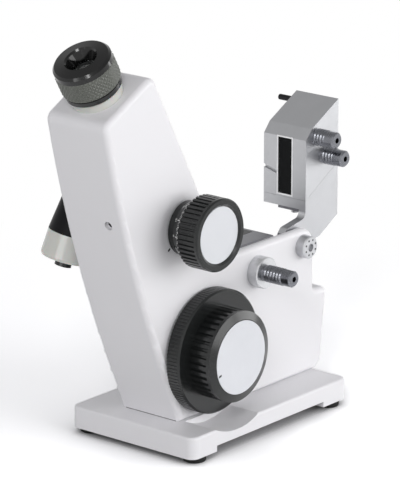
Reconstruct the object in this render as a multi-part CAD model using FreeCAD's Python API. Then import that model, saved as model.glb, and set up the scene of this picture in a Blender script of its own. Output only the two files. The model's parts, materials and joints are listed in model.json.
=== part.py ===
import FreeCAD, Part
import math
import os

# Abbe refractometer with its prism box open.
# Frame while building: +X runs from the eyepiece side to the prism side, -Y is the side with the knobs,
# +Z is up, the middle of the base plate is at x = y = 0 and the feet stand a little above z = 0.
# Lengths are in millimetres and angles in degrees.

os.makedirs("parts", exist_ok=True)

# Fits and allowances
cut_over = 2.0            # how far a cutting tool runs past a face
running_gap = 0.05        # radial clearance of a shaft in its bush
seat_gap = 0.2            # clearance of a loose cover in its recess
side_gap = 0.4            # axial clearance beside a turning piece
soft_round = 0.5          # small rounding of machined edges

# Base plate
base_length = 139.0
base_width = 90.0
base_thickness = 12.7
base_corner_radius = 5.0
base_edge_radius = 1.4
base_channel_start = -49.0
base_channel_end = 47.0
base_channel_depth = 3.4
foot_radius = 6.5
foot_drop = 3.5
foot_sink = 1.5
foot_round = 1.0
foot_end_inset = 9.5
foot_side_inset = 7.0
base_screw_radius = 2.0
base_screw_head_radius = 3.6
base_screw_head_height = 2.4
base_screw_reach = 7.0
base_screw_front_x = -30.0
base_screw_rear_x = 55.0
base_screw_inset = 10.0
base_bottom = 5.0
base_top = base_bottom + base_thickness
foot_x = base_length / 2 - foot_end_inset
foot_y = base_width / 2 - foot_side_inset

# Housing
housing_half_width = 22.0
wall = 4.0
lean = 28.0               # slope of the top face, and of the rear face from upright
front_foot_x = -52.6
front_belly_x = -91.4
front_belly_z = 114.9
front_top_x = -114.0
top_mid_x = -89.0
top_mid_z = 213.0
rear_mid_x = -52.0
rear_mid_z = 178.4
rail_z = 105.2
rear_edge_x = 67.0
ear_radius = 11.0
step_z = 66.0
block_top_x = 79.4
block_bottom_x = 74.6
front_top_round = 6.0
top_rear_round = 5.0
rail_start_round = 4.0
step_round = 3.0
block_top_round = 3.5
block_bottom_round = 8.0
side_edge_round = 3.4
shelf_drop = 25.2
cover_margin = 6.0
cover_ledge = 4.0
cover_thickness = 2.5
cover_screw_radius = 1.5
cover_screw_head_radius = 2.8
cover_screw_head_height = 1.5
cover_screw_reach = 7.0
cover_boss_radius = 4.2
cover_boss_length = 10.0

# Prism seat, its glass and its water nozzles
seat_start_x = -12.4
seat_end_x = 34.0
seat_side_gap = 0.1
seat_rise = 0.9
prism_start_x = -2.7
prism_length = 33.8
prism_half_width = 4.9
prism_height = 15.0
prism_toe = 9.0
prism_gap = 0.1
light_bore_radius = 4.0
light_bore_x = 8.0
nozzle_x = 14.4
nozzle_drop = 15.0
nozzle_collar_radius = 9.1
nozzle_collar_length = 7.0
nozzle_stub_radius = 5.0
nozzle_radius = 4.7
nozzle_bore_radius = 1.6
nozzle_length = 19.5
nozzle_tip_length = 6.0
nozzle_groove = 0.5
nozzle_groove_pitch = 1.3
nozzle_tip_chamfer = 0.9
water_bore_radius = 2.4
water_bore_y = 11.0
water_bore_margin = 5.0

# Hinge of the prism box
hinge_x = 55.6
hinge_drop = 9.8
hinge_pin_radius = 2.5
hinge_head_radius = 6.6
hinge_head_length = 6.0
hinge_head_chamfer = 0.7
hinge_socket_radius = 2.3
hinge_socket_depth = 2.2
inner_ear_radius = 5.0
inner_ear_thickness = 4.6
spacer_radius = 4.6
lug_thickness = 5.0

# Prism box, measured from the hinge pin while the box stands open
box_side_gap = 2.6
box_front = 10.8
box_back = 40.8
box_bottom = 17.2
box_shoulder = 58.6
box_bevel = 5.2
box_tail_x = 24.0
box_tail_z = -0.8
box_back_bottom = 8.8
seam_front = 22.9
seam_rise_share = 0.577   # rise of the seam for each unit towards the back
seam_gap = 0.12
toe_x = -8.6
toe_z = 7.4
toe_top_z = 10.2
toe_round = 3.0
heel_z = 13.0
neck_round = 4.0
lug_root_radius = 7.5
slot_bottom = 24.6
slot_length = 33.4
slot_half_width = 4.9
slot_frame = 0.9
glass_sink = 2.2
glass_depth = 10.0
groove_width = 2.0
groove_depth = 1.4
groove_edge_z = 38.2
groove_slot_z = 35.6
window_length = 20.0
window_half_width = 6.0
window_thickness = 2.0
window_bottom = 43.6
box_nozzle_radius = 4.8
box_nozzle_length = 14.6
box_nozzle_stub = 4.0
box_nozzle_stub_radius = 3.0
upper_nozzle_x = 20.8
upper_nozzle_z = 59.2
lower_nozzle_x = 28.8
lower_nozzle_z = 46.7
lift_pin_radius = 1.7
lift_pin_length = 10.0
lift_pin_sink = 5.0
lift_pin_x = 37.5
lift_pin_z = 73.0
keeper_near_y = -9.7
keeper_far_y = 5.1
keeper_depth = 9.0
keeper_thickness = 1.7
keeper_screw_radius = 2.3
keeper_screw_height = 1.6
keeper_screw_stem = 1.3
keeper_screw_reach = 4.0
keeper_screw_y = -4.8
keeper_screw_inset = 3.2

# Telescope, seen along its tilted axis
tube_lean = 30.0
compensator_x = -49.6
compensator_z = 130.4
tube_radius = 12.0
tube_bore = 11.2
tube_start = -24.0
tube_end = 80.0
tube_window_radius = 7.0
saddle_width = 9.0
saddle_low = -17.0
saddle_high = 58.0
objective_thickness = 4.0
reticle_place = 68.0
reticle_thickness = 1.5
scale_prism_size = 4.0
scale_prism_gap = 0.6
scale_lens_radius = 3.2
scale_lens_wall = 1.2
scale_lens_thickness = 3.0
scale_lens_along = 40.0
scale_pad_length = 3.0
lens_bulge_share = 0.3    # how much of a lens is its curved cap

# Compensator knob and its two prism cells
comp_flange_radius = 15.3
comp_flange_thickness = 3.0
comp_scale_length = 7.6
comp_grip_radius = 20.5
comp_grip_length = 14.0
comp_rim_length = 2.2
comp_rim_chamfer = 0.8
comp_rim_bevel = 1.4
comp_rib_count = 44
comp_rib_depth = 0.9
comp_disc_radius = 15.9
comp_disc_thickness = 0.9
comp_disc_sink = 1.0
comp_shaft_radius = 3.0
comp_bush_radius = 6.0
comp_bush_flange_radius = 8.5
bush_flange_thickness = 0.9
comp_bush_inner_y = -13.0
comp_boss_radius = 9.0
pinion_teeth = 12
crown_teeth = 26
fine_module = 0.8
pinion_inner_y = -8.9
pinion_length = 2.6
pinion_tooth_share = 0.40
crown_outer_radius = 11.0
crown_inner_radius = 9.2
crown_ring_thickness = 2.0
cell_length = 13.0
cell_radius = 11.0
cell_bore = 8.6
amici_half = 5.8
amici_end_gap = 1.0
crown_shift = 0.35
tooth_share = 0.44        # tooth thickness as a share of the pitch
tooth_tip_share = 0.24
tooth_root_share = 0.62

# Handwheel with its gears and cam
wheel_x = -31.0
wheel_z = 55.8
wheel_flange_radius = 35.5
wheel_flange_thickness = 8.6
wheel_flange_chamfer = 1.0
wheel_flange_ribs = 110
wheel_flange_rib_depth = 0.35
wheel_grip_radius = 26.0
wheel_grip_length = 11.6
wheel_grip_ribs = 40
wheel_grip_rib_depth = 1.2
wheel_rim_length = 3.6
wheel_rim_chamfer = 1.6
wheel_disc_radius = 21.0
wheel_disc_thickness = 1.0
wheel_disc_proud = 0.2
wheel_shaft_radius = 4.0
wheel_shaft_end_radius = 2.5
wheel_bush_radius = 8.0
wheel_bush_flange_radius = 11.0
wheel_boss_radius = 11.0
wheel_bush_inner_y = -10.0
scoop_clearance = 7.0
scoop_inner_y = -22.6
gear_near_y = 13.4
gear_thickness = 1.8
drive_teeth = 50
idler_teeth = 50
scale_teeth = 62
idler_pin_radius = 2.5
scale_pin_radius = 2.5
gear_hub_radius = 5.0
scale_glass_outer = 20.5
scale_glass_inner = 11.0
scale_rim = 1.2
scale_web_thickness = 0.8
scale_spoke_turn = 0.5    # half the spoke's width, in radians
pin_head_thickness = 1.0
pin_head_rim = 1.0
scale_centre_x = -62.6
scale_centre_z = 132.2
scale_read_radius = 17.0
scale_lean = 66.0         # direction of the reading point from the middle of the scale disc
cam_mean_radius = 10.3
cam_rise_height = 5.52           # for one whole turn
cam_reach = 150.0         # degrees each way that the cam's spiral serves
cam_lead = 12.0
cam_near_y = 2.0
cam_thickness = 3.0
cam_hub_radius = 6.5
mirror_ratio = 0.04
roller_radius = 3.0
roller_gap = 0.3
roller_pin_radius = 1.2
lever_hub_radius = 5.0
lever_pin_radius = 2.0
lever_width = 5.0
mirror_seat_x = -8.0
mirror_seat_z = 50.0
mirror_length = 13.0
mirror_half_width = 7.0
mirror_thickness = 2.0
mirror_seat_thickness = 3.0

# Eyepiece, measured up from the slanted top face
collar_radius = 14.6
collar_height = 5.6
collar_spigot_radius = 12.6
collar_spigot_length = 9.0
eyepiece_throat_radius = 9.0
eyepiece_tail_length = 9.0
eyepiece_tail_radius = 10.6
neck_radius = 13.6
neck_height = 0.5
flange_ring_radius = 16.0
flange_ring_height = 2.6
body_groove_radius = 15.2
body_groove_width = 0.8
knurl_radius = 17.0
knurl_height = 12.4
knurl_ribs = 72
knurl_rib_depth = 0.4
top_ring_height = 5.0
top_ring_radius = 16.6
top_ring_shoulder = 2.8
top_ring_bevel_radius = 15.4
top_ring_bevel_height = 4.2
top_ring_lip_radius = 9.4
eyecup_radius = 8.5
eyecup_depth = 4.6
eye_lens_radius = 6.2
eye_lens_thickness = 3.0
grub_radius = 1.0
grub_length = 2.5

# Calibration screw in the front face
calibration_y = -10.3
calibration_z = 139.8
calibration_hole_radius = 2.6
calibration_screw_radius = 2.1
calibration_screw_length = 9.0
calibration_screw_sink = 2.4
calibration_slot = 0.6
calibration_boss_radius = 5.0

# Small screw on the rear step
step_screw_radius = 2.2
step_screw_height = 0.9
step_screw_stem = 1.4
step_screw_reach = 4.0
step_screw_x = 73.4
step_screw_y = -12.0

# Scale condenser on the far side
condenser_tilt_x_share = -0.246
condenser_tilt_y_share = 0.147
condenser_rim_radius = 14.0
condenser_bell_top_radius = 13.3
condenser_bell_length = 15.0
condenser_cone_radius = 9.8
condenser_cone_length = 26.0
condenser_wall = 1.6
condenser_lip = 0.7
condenser_length = 42.0
condenser_stand = 10.9
lens_ring_radius = 4.8
lens_ring_bore = 3.6
lens_ring_length = 6.0
lens_ring_proud = 4.0
swivel_radius = 6.4
swivel_bore = 3.6
swivel_light_bore = 2.4
swivel_foot_radius = 9.0
swivel_foot_thickness = 0.8
swivel_spigot_radius = 4.9
swivel_spigot_length = 7.0

up = FreeCAD.Vector(0, 0, 1)
near = FreeCAD.Vector(0, -1, 0)
far = FreeCAD.Vector(0, 1, 0)
slope = math.tan(math.radians(lean))
inner_y = housing_half_width - wall
cover_inner_y = housing_half_width - cover_thickness
base_screw_y = housing_half_width - base_screw_inset
box_half_width = inner_y - box_side_gap
shelf_z = rail_z - shelf_drop
seat_top_z = rail_z + seat_rise
nozzle_z = rail_z - nozzle_drop
hinge_z = rail_z - hinge_drop
tube_axis = FreeCAD.Vector(-math.sin(math.radians(tube_lean)), 0, math.cos(math.radians(tube_lean)))
tube_across = FreeCAD.Vector(math.cos(math.radians(tube_lean)), 0, math.sin(math.radians(tube_lean)))

nodes = {}


def keep(name, shape):
    """Remembers one finished piece under its node name."""
    nodes[name] = shape.removeSplitter() if shape.ShapeType == "Solid" else shape
    return nodes[name]


def vec(x, y, z):
    return FreeCAD.Vector(x, y, z)


def block(x0, x1, y0, y1, z0, z1):
    return Part.makeBox(x1 - x0, y1 - y0, z1 - z0, vec(x0, y0, z0))


def rod(start, end, radius):
    return Part.makeCylinder(radius, (end - start).Length, start, end - start)


def rod_y(x, z, y0, y1, radius):
    return Part.makeCylinder(radius, y1 - y0, vec(x, y0, z), far)


def placed(shape, origin, direction):
    """Moves a shape built along +Z so that it stands at origin along direction."""
    turned = shape.copy()
    turned.Placement = FreeCAD.Placement(origin, FreeCAD.Rotation(up, direction))
    return turned


def turned_piece(profile, origin, direction):
    """Turns a closed outline of (radius, height) points about its axis."""
    points = [vec(r, 0, h) for r, h in profile]
    face = Part.Face(Part.makePolygon(points + points[:1]))
    return placed(face.revolve(vec(0, 0, 0), up, 360), origin, direction)


def rounded_edges(points):
    """Edges of a closed side outline; each point is (x, z, corner radius)."""
    corners = [vec(x, 0, z) for x, z, radius in points]
    legs = []
    for i, (x, z, radius) in enumerate(points):
        here = corners[i]
        back = (corners[i - 1] - here).normalize()
        ahead = (corners[(i + 1) % len(points)] - here).normalize()
        if radius > 0:
            half = back.getAngle(ahead) / 2
            reach = radius / math.tan(half)
            centre = here + (back + ahead).normalize() * (radius / math.sin(half))
            middle = centre + (here - centre).normalize() * radius
            legs.append((here + back * reach, middle, here + ahead * reach))
        else:
            legs.append((here, None, here))
    edges = []
    for i, (start, middle, end) in enumerate(legs):
        if middle is not None:
            edges.append(Part.Arc(start, middle, end).toShape())
        edges.append(Part.LineSegment(end, legs[(i + 1) % len(legs)][0]).toShape())
    return edges


def side_plate(points, y0, y1):
    """Solid with a side outline of (x, z, radius) points between two planes across Y."""
    face = Part.Face(Part.Wire(rounded_edges(points)))
    face.translate(vec(0, y0, 0))
    return face.extrude(vec(0, y1 - y0, 0))


def ribbed_disc(radius, depth, count, land_share=0.5):
    """Closed outline of a grip: count ribs with grooves between them."""
    points = []
    step = 2 * math.pi / count
    for i in range(count):
        for place, r in ((0, radius), (land_share, radius), (land_share + 0.12, radius - depth),
                         (0.88, radius - depth)):
            angle = (i + place) * step
            points.append(vec(r * math.cos(angle), r * math.sin(angle), 0))
    return Part.Face(Part.makePolygon(points + points[:1]))


def gear_face(teeth, module, phase=0.0):
    """Outline of a spur gear with straight flanks and generous backlash."""
    pitch_radius = teeth * module / 2
    tip = pitch_radius + module * 0.9
    root = pitch_radius - module * 1.2
    pitch = 2 * math.pi / teeth
    points = []
    for i in range(teeth):
        centre = i * pitch + phase
        for share, r in ((-tooth_root_share, root), (-tooth_share, pitch_radius), (-tooth_tip_share, tip),
                         (tooth_tip_share, tip), (tooth_share, pitch_radius), (tooth_root_share, root)):
            angle = centre + share * pitch / 2
            points.append(vec(r * math.cos(angle), r * math.sin(angle), 0))
    return Part.Face(Part.makePolygon(points + points[:1]))


def gear(teeth, module, x, z, y0, y1, bore, phase=0.0):
    """Spur gear across Y; its phase is measured in the side view."""
    body = placed(gear_face(teeth, module, phase).extrude(vec(0, 0, y1 - y0)), vec(x, y1, z), near)
    return body.cut(rod_y(x, z, y0 - cut_over, y1 + cut_over, bore))


def on_tube(along, across=0.0, side=0.0):
    """A point of the telescope: along its axis from the compensator, across it, and towards +Y."""
    start = vec(compensator_x, side, compensator_z)
    return start + tube_axis * along + tube_across * across


def on_front(z):
    """The front face's x at a height, on the arc through its foot, belly and top."""
    centre, radius = front_circle()
    return centre.x - math.sqrt(radius ** 2 - (z - centre.z) ** 2)


def screw_group(places, direction, head_radius, head_height, stem_radius, reach, flat_head):
    """Screws set with their head's outer face at each place, pointing along direction."""
    screws = []
    for place in places:
        if flat_head:
            head = Part.makeCone(head_radius, stem_radius, head_height, place, direction)
        else:
            head = Part.makeCylinder(head_radius, head_height, place, direction)
        stem = Part.makeCylinder(stem_radius, head_height + reach, place, direction)
        slot_depth = head_height * 0.4
        slot = Part.makeCylinder(stem_radius * 0.6, slot_depth, place, direction)
        screws.append(head.fuse(stem).cut(slot))
    return screws


def lens(radius, thickness, origin, direction):
    """Plano-convex lens with its flat face at origin."""
    cap = thickness * lens_bulge_share
    sphere_radius = (radius ** 2 + cap ** 2) / (2 * cap)
    ball = Part.makeSphere(sphere_radius, vec(0, 0, thickness - sphere_radius))
    return placed(Part.makeCylinder(radius, thickness).common(ball), origin, direction)


def hose_nozzle(origin, direction, length, radius, stub_radius, stub_length):
    """Threaded hose nozzle with a smooth tip, a bore and a stub that sits in what carries it."""
    profile = [(nozzle_bore_radius, -stub_length), (stub_radius, -stub_length), (stub_radius, 0), (radius, 0)]
    height = nozzle_groove_pitch
    while height < length - nozzle_tip_length:
        profile += [(radius, height - nozzle_groove_pitch * 0.5), (radius - nozzle_groove, height)]
        profile += [(radius - nozzle_groove, height + nozzle_groove_pitch * 0.1),
                    (radius, height + nozzle_groove_pitch * 0.4)]
        height += nozzle_groove_pitch
    profile += [(radius, length - nozzle_tip_chamfer), (radius - nozzle_tip_chamfer, length)]
    profile += [(nozzle_bore_radius, length)]
    return turned_piece(profile, origin, direction)


# Corners that the housing's lines meet in
front_top_z = top_mid_z + (front_top_x - top_mid_x) * slope
rear_slope = 1 / slope
top_rear_x = (rear_mid_z - top_mid_z + rear_mid_x * rear_slope + top_mid_x * slope) / (slope + rear_slope)
top_rear_z = top_mid_z + (top_rear_x - top_mid_x) * slope
rail_start_x = rear_mid_x - (rail_z - rear_mid_z) / rear_slope
# The eyepiece sits in a shallow spot face, square to the telescope, where the slanted top face is lowest
spot_face_depth = collar_radius * math.tan(math.radians(tube_lean - lean))
eyepiece_along = ((top_mid_z - compensator_z + (compensator_x - top_mid_x) * slope)
                  / (tube_axis.z - tube_axis.x * slope)) - spot_face_depth


def rear_face_x(z):
    return rear_mid_x - (z - rear_mid_z) / rear_slope


def front_circle():
    """Centre and radius of the arc that the front face follows."""
    arc = Part.Arc(vec(front_foot_x, 0, base_top), vec(front_belly_x, 0, front_belly_z),
                   vec(front_top_x, 0, front_top_z)).toShape()
    return arc.Curve.Center, arc.Curve.Radius


def moved_corner(before, corner, after, inset):
    """A corner of a clockwise outline after both its sides move inwards by the inset."""
    one = (corner - before).normalize()
    two = (after - corner).normalize()
    normal_one = vec(one.z, 0, -one.x)
    normal_two = vec(two.z, 0, -two.x)
    return corner + (normal_one + normal_two) * (inset / (1 + normal_one.dot(normal_two)))


def housing_outline(inset=0.0):
    """Closed side outline, moved inwards by the inset; the ear is only rounded on the outside."""
    corners = [vec(front_top_x, 0, front_top_z), vec(top_rear_x, 0, top_rear_z), vec(rail_start_x, 0, rail_z),
               vec(rear_edge_x, 0, rail_z), vec(rear_edge_x, 0, step_z), vec(block_top_x, 0, step_z),
               vec(block_bottom_x, 0, base_top), vec(front_foot_x, 0, base_top)]
    inner = [moved_corner(a, b, c, inset) for a, b, c in zip(corners, corners[1:], corners[2:])]
    centre, radius = front_circle()
    radius -= inset
    foot_z = base_top + inset
    foot = vec(centre.x - math.sqrt(radius ** 2 - (foot_z - centre.z) ** 2), 0, foot_z)
    along = (corners[0] - corners[1]).normalize()
    offset = inner[0] - centre
    reach = -offset.dot(along) + math.sqrt(offset.dot(along) ** 2 - offset.Length ** 2 + radius ** 2)
    top = inner[0] + along * reach
    belly = vec(front_belly_x, 0, front_belly_z) - centre
    belly = centre + belly.normalize() * radius
    edges = [Part.Arc(foot, belly, top).toShape(), Part.LineSegment(top, inner[0]).toShape()]
    for a, b in zip(inner, inner[1:]):
        edges.append(Part.LineSegment(a, b).toShape())
    edges.append(Part.LineSegment(inner[-1], foot).toShape())
    return Part.Wire(edges)


def cross_edges(shape, x, z):
    """The edges of a shape that run along Y through (x, z)."""
    found = []
    for edge in shape.Edges:
        ends = [v.Point for v in edge.Vertexes]
        if len(ends) == 2 and all(math.hypot(p.x - x, p.z - z) < soft_round for p in ends):
            found.append(edge)
    return found


def inside_face(inset):
    """Side face of the housing's inside, inset from its outside and kept below the prism shelf."""
    face = Part.Face(housing_outline(inset))
    extra = inset - wall
    ceiling = block(seat_start_x - inset, block_top_x + inset, -cut_over, cut_over,
                    shelf_z - wall - extra, rail_z + inset)
    return face.cut(ceiling)


def inside_solid(inset, y0, y1):
    face = inside_face(inset)
    face.translate(vec(0, y0, 0))
    return face.extrude(vec(0, y1 - y0, 0))


# Screw places follow the middle of the ledge that the side cover lies on
cover_line = cover_margin + cover_screw_head_radius + 2 * seat_gap


def cover_screw_places():
    """Places along the edge of the side cover, clear of the gears behind it."""
    inset = cover_line
    ceiling = shelf_z - wall - (inset - wall)
    foot_z = base_top + inset
    low_z = wheel_z + inset / 2
    high_z = (front_belly_z + front_top_z) / 2
    rear_low_x = block_bottom_x - inset
    top_z = top_rear_z - inset * 2.6
    return [(on_front(foot_z) + inset * 1.7, foot_z), (on_front(low_z) + inset * 1.05, low_z),
            (on_front(high_z) + inset * 1.05, high_z),
            (front_top_x + inset * 1.55, front_top_z - inset * 0.35),
            (rear_face_x(top_z) - inset * 1.25, top_z), (seat_start_x - inset, rail_z - inset * 1.5),
            (rear_edge_x - inset, ceiling), (rear_low_x, foot_z),
            ((front_foot_x + block_bottom_x) / 2, foot_z)]


def make_base():
    plate = block(-base_length / 2, base_length / 2, -base_width / 2, base_width / 2, base_bottom, base_top)
    uprights = [e for e in plate.Edges if abs(e.Vertexes[0].Z - e.Vertexes[1].Z) > base_thickness / 2]
    plate = plate.makeFillet(base_corner_radius, uprights)
    rim = [e for e in plate.Edges if all(v.Z > base_top - soft_round for v in e.Vertexes)]
    plate = plate.makeFillet(base_edge_radius, rim)
    channel = block(base_channel_start, base_channel_end, -base_width, base_width,
                    base_bottom - cut_over, base_bottom + base_channel_depth)
    scoop = rod_y(wheel_x, wheel_z, -base_width, scoop_inner_y, wheel_flange_radius + scoop_clearance)
    plate = plate.cut(channel).cut(scoop)
    for x in (-foot_x, foot_x):
        for y in (-foot_y, foot_y):
            plate = plate.cut(rod(vec(x, y, 0), vec(x, y, base_bottom + foot_sink), foot_radius))
    for x, y in base_screw_places():
        floor = base_floor(x)
        plate = plate.cut(rod(vec(x, y, 0), vec(x, y, floor + base_screw_head_height), base_screw_head_radius))
        plate = plate.cut(rod(vec(x, y, 0), vec(x, y, base_top + cut_over), base_screw_radius + running_gap))
    return keep("base_plate", plate)


def base_floor(x):
    in_channel = base_channel_start < x < base_channel_end
    return base_bottom + (base_channel_depth if in_channel else 0)


def base_screw_places():
    return [(x, y) for x in (base_screw_front_x, base_screw_rear_x) for y in (-base_screw_y, base_screw_y)]


def make_feet():
    floor_z = base_bottom - foot_drop
    feet = []
    for x in (-foot_x, foot_x):
        for y in (-foot_y, foot_y):
            foot = rod(vec(x, y, floor_z), vec(x, y, base_bottom + foot_sink), foot_radius - running_gap)
            lower = [e for e in foot.Edges if e.Vertexes[0].Z < floor_z + soft_round and len(e.Vertexes) == 1]
            feet.append(foot.makeFillet(foot_round, lower))
    keep("rubber_feet", Part.makeCompound(feet))
    screws = []
    for x, y in base_screw_places():
        place = vec(x, y, base_floor(x))
        reach = base_top - base_floor(x) + base_screw_reach - base_screw_head_height
        screws += screw_group([place], up, base_screw_head_radius - running_gap, base_screw_head_height,
                              base_screw_radius, reach, False)
    keep("base_screws", Part.makeCompound(screws))


def tube_saddle(along):
    """A shelf on the near wall that the telescope tube rests in."""
    low = on_tube(along - saddle_width / 2, 0, -inner_y)
    width = tube_radius + wall
    plate = Part.makeBox(2 * width, inner_y - tube_radius / 2, saddle_width)
    plate.translate(vec(-width, 0, 0))
    frame = FreeCAD.Placement(low, FreeCAD.Rotation(tube_across, far, tube_axis, "ZXY"))
    plate.Placement = frame
    return plate


def make_housing():
    shell = Part.Face(housing_outline()).extrude(vec(0, 2 * housing_half_width, 0))
    shell.translate(vec(0, -housing_half_width, 0))
    rounds = [(front_top_x, front_top_z, front_top_round), (top_rear_x, top_rear_z, top_rear_round),
              (rail_start_x, rail_z, rail_start_round), (rear_edge_x, rail_z, ear_radius),
              (rear_edge_x, step_z, step_round),
              (block_top_x, step_z, block_top_round), (block_bottom_x, base_top, block_bottom_round)]
    for x, z, radius in rounds:
        shell = shell.makeFillet(radius, cross_edges(shell, x, z))
    sides = [e for e in shell.Edges
             if all(abs(abs(v.Y) - housing_half_width) < soft_round / 10 for v in e.Vertexes)
             and abs(e.Vertexes[0].Y - e.Vertexes[-1].Y) < soft_round
             and not all(v.Z < base_top + soft_round / 10 for v in e.Vertexes)]
    shell = shell.makeFillet(side_edge_round, sides)

    shell = shell.cut(inside_solid(wall, -inner_y, inner_y))
    shell = shell.cut(inside_solid(cover_margin + cover_ledge, inner_y - cut_over, housing_half_width + cut_over))
    shell = shell.cut(inside_solid(cover_margin, cover_inner_y, housing_half_width + cut_over))
    seat_room = block(seat_start_x, block_top_x + cut_over, -inner_y, inner_y, shelf_z, top_rear_z)
    hinge_room = block(seat_end_x + seat_side_gap, block_top_x + cut_over, -inner_y,
                       housing_half_width + cut_over, shelf_z, top_rear_z)
    shell = shell.cut(seat_room).cut(hinge_room)

    inner_ear = side_plate([(hinge_x - inner_ear_radius, shelf_z - soft_round, 0),
                            (hinge_x - inner_ear_radius, hinge_z + inner_ear_radius, inner_ear_radius * 0.98),
                            (hinge_x + inner_ear_radius, hinge_z + inner_ear_radius, inner_ear_radius * 0.98),
                            (hinge_x + inner_ear_radius, shelf_z - soft_round, 0)],
                           inner_ear_y0, inner_ear_y0 + inner_ear_thickness)
    shell = shell.fuse(inner_ear)

    added = [rod_y(hinge_x, hinge_z, -inner_y - soft_round, lug_near_y - side_gap, spacer_radius),
             rod_y(wheel_x, wheel_z, -inner_y - soft_round, wheel_bush_inner_y, wheel_boss_radius),
             rod_y(compensator_x, compensator_z, -inner_y - soft_round, -tube_radius - side_gap * 2,
                   comp_boss_radius),
             rod_y(lever_pin_x, lever_pin_z, -inner_y - soft_round, -inner_y + wall, lever_hub_radius)]
    cavity = inside_solid(wall - soft_round, -inner_y - soft_round, inner_y)
    added += [tube_saddle(place).common(cavity) for place in (saddle_low, saddle_high)]
    for x, z in cover_screw_places():
        added.append(rod_y(x, z, cover_inner_y - cover_boss_length, cover_inner_y, cover_boss_radius))
    for x, y in base_screw_places():
        added.append(rod(vec(x, y, base_top + soft_round), vec(x, y, base_top + base_screw_reach + wall / 2),
                         base_screw_head_radius + wall / 4))
    added.append(rod(calibration_point(wall / 2),
                     calibration_point(calibration_screw_sink + calibration_screw_length),
                     calibration_boss_radius))
    for piece in added:
        shell = shell.fuse(piece)

    tube_room = rod(on_tube(tube_start - cut_over), on_tube(tube_end + cut_over), tube_radius)
    shell = shell.cut(tube_room)
    collar_hole = rod(on_tube(eyepiece_along - collar_spigot_length - wall), on_tube(eyepiece_along + wall),
                      collar_spigot_radius + running_gap)
    spot_face = rod(on_tube(eyepiece_along), on_tube(eyepiece_along + wall), collar_radius + running_gap)
    bores = [collar_hole, spot_face,
             rod_y(wheel_x, wheel_z, -housing_half_width - cut_over, wheel_bush_inner_y + cut_over,
                   wheel_bush_radius),
             rod_y(compensator_x, compensator_z, -housing_half_width - cut_over, 0, comp_bush_radius),
             rod_y(hinge_x, hinge_z, -housing_half_width - cut_over, 0, hinge_pin_radius + running_gap),
             rod_y(lever_pin_x, lever_pin_z, -inner_y - wall / 2, 0, lever_pin_radius),
             rod_y(nozzle_x, nozzle_z, -housing_half_width - cut_over, housing_half_width + cut_over,
                   nozzle_stub_radius + running_gap),
             rod(vec(light_bore_x, 0, shelf_z - wall - cut_over), vec(light_bore_x, 0, shelf_z + cut_over),
                 light_bore_radius),
             rod(calibration_point(-wall), calibration_point(calibration_screw_sink + calibration_screw_length * 2),
                 calibration_screw_radius + running_gap),
             rod(calibration_point(-wall), calibration_point(calibration_screw_sink), calibration_hole_radius),
             rod(vec(step_screw_x, step_screw_y, step_z - step_screw_reach),
                 vec(step_screw_x, step_screw_y, step_z + cut_over), step_screw_stem)]
    for x, z in cover_screw_places():
        bores.append(rod_y(x, z, cover_inner_y - cover_screw_reach, housing_half_width, cover_screw_radius))
    for x, y in base_screw_places():
        bores.append(rod(vec(x, y, base_top - cut_over), vec(x, y, base_top + base_screw_reach),
                         base_screw_radius))
    for bore in bores:
        shell = shell.cut(bore)
    return keep("housing", shell)


# Places that several pieces share
lug_near_y = -box_half_width
lug_far_y = lug_near_y + lug_thickness
inner_ear_y0 = lug_far_y + side_gap
lever_length = cam_rise_height / (2 * math.pi) / mirror_ratio
roller_x = wheel_x + cam_mean_radius + roller_radius + roller_gap
lever_pin_x = roller_x
lever_pin_z = wheel_z - lever_length
gear_far_y = gear_near_y + gear_thickness
idler_gap_one = (drive_teeth + idler_teeth) * fine_module / 2
idler_gap_two = (idler_teeth + scale_teeth) * fine_module / 2
scale_distance = math.hypot(scale_centre_x - wheel_x, scale_centre_z - wheel_z)
scale_bearing = math.atan2(scale_centre_z - wheel_z, scale_centre_x - wheel_x)
idler_swing = math.acos((idler_gap_one ** 2 + scale_distance ** 2 - idler_gap_two ** 2)
                        / (2 * idler_gap_one * scale_distance))
idler_x = wheel_x + idler_gap_one * math.cos(scale_bearing + idler_swing)
idler_z = wheel_z + idler_gap_one * math.sin(scale_bearing + idler_swing)
read_x = scale_centre_x - scale_read_radius * math.cos(math.radians(scale_lean))
read_z = scale_centre_z + scale_read_radius * math.sin(math.radians(scale_lean))
scale_path_y = gear_near_y - scale_prism_gap - scale_prism_size / 2
read_across = (read_x - compensator_x) * tube_across.x + (read_z - compensator_z) * tube_across.z
read_along = (read_x - compensator_x) * tube_axis.x + (read_z - compensator_z) * tube_axis.z
read_distance = math.hypot(read_across, scale_path_y)


def calibration_axis():
    """Unit vector into the housing, square to the front face at the calibration hole."""
    step = soft_round
    low = vec(on_front(calibration_z - step), 0, calibration_z - step)
    high = vec(on_front(calibration_z + step), 0, calibration_z + step)
    face = (high - low).normalize()
    return vec(face.z, 0, -face.x)


def calibration_point(depth):
    start = vec(on_front(calibration_z), calibration_y, calibration_z)
    return start + calibration_axis() * depth


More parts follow.
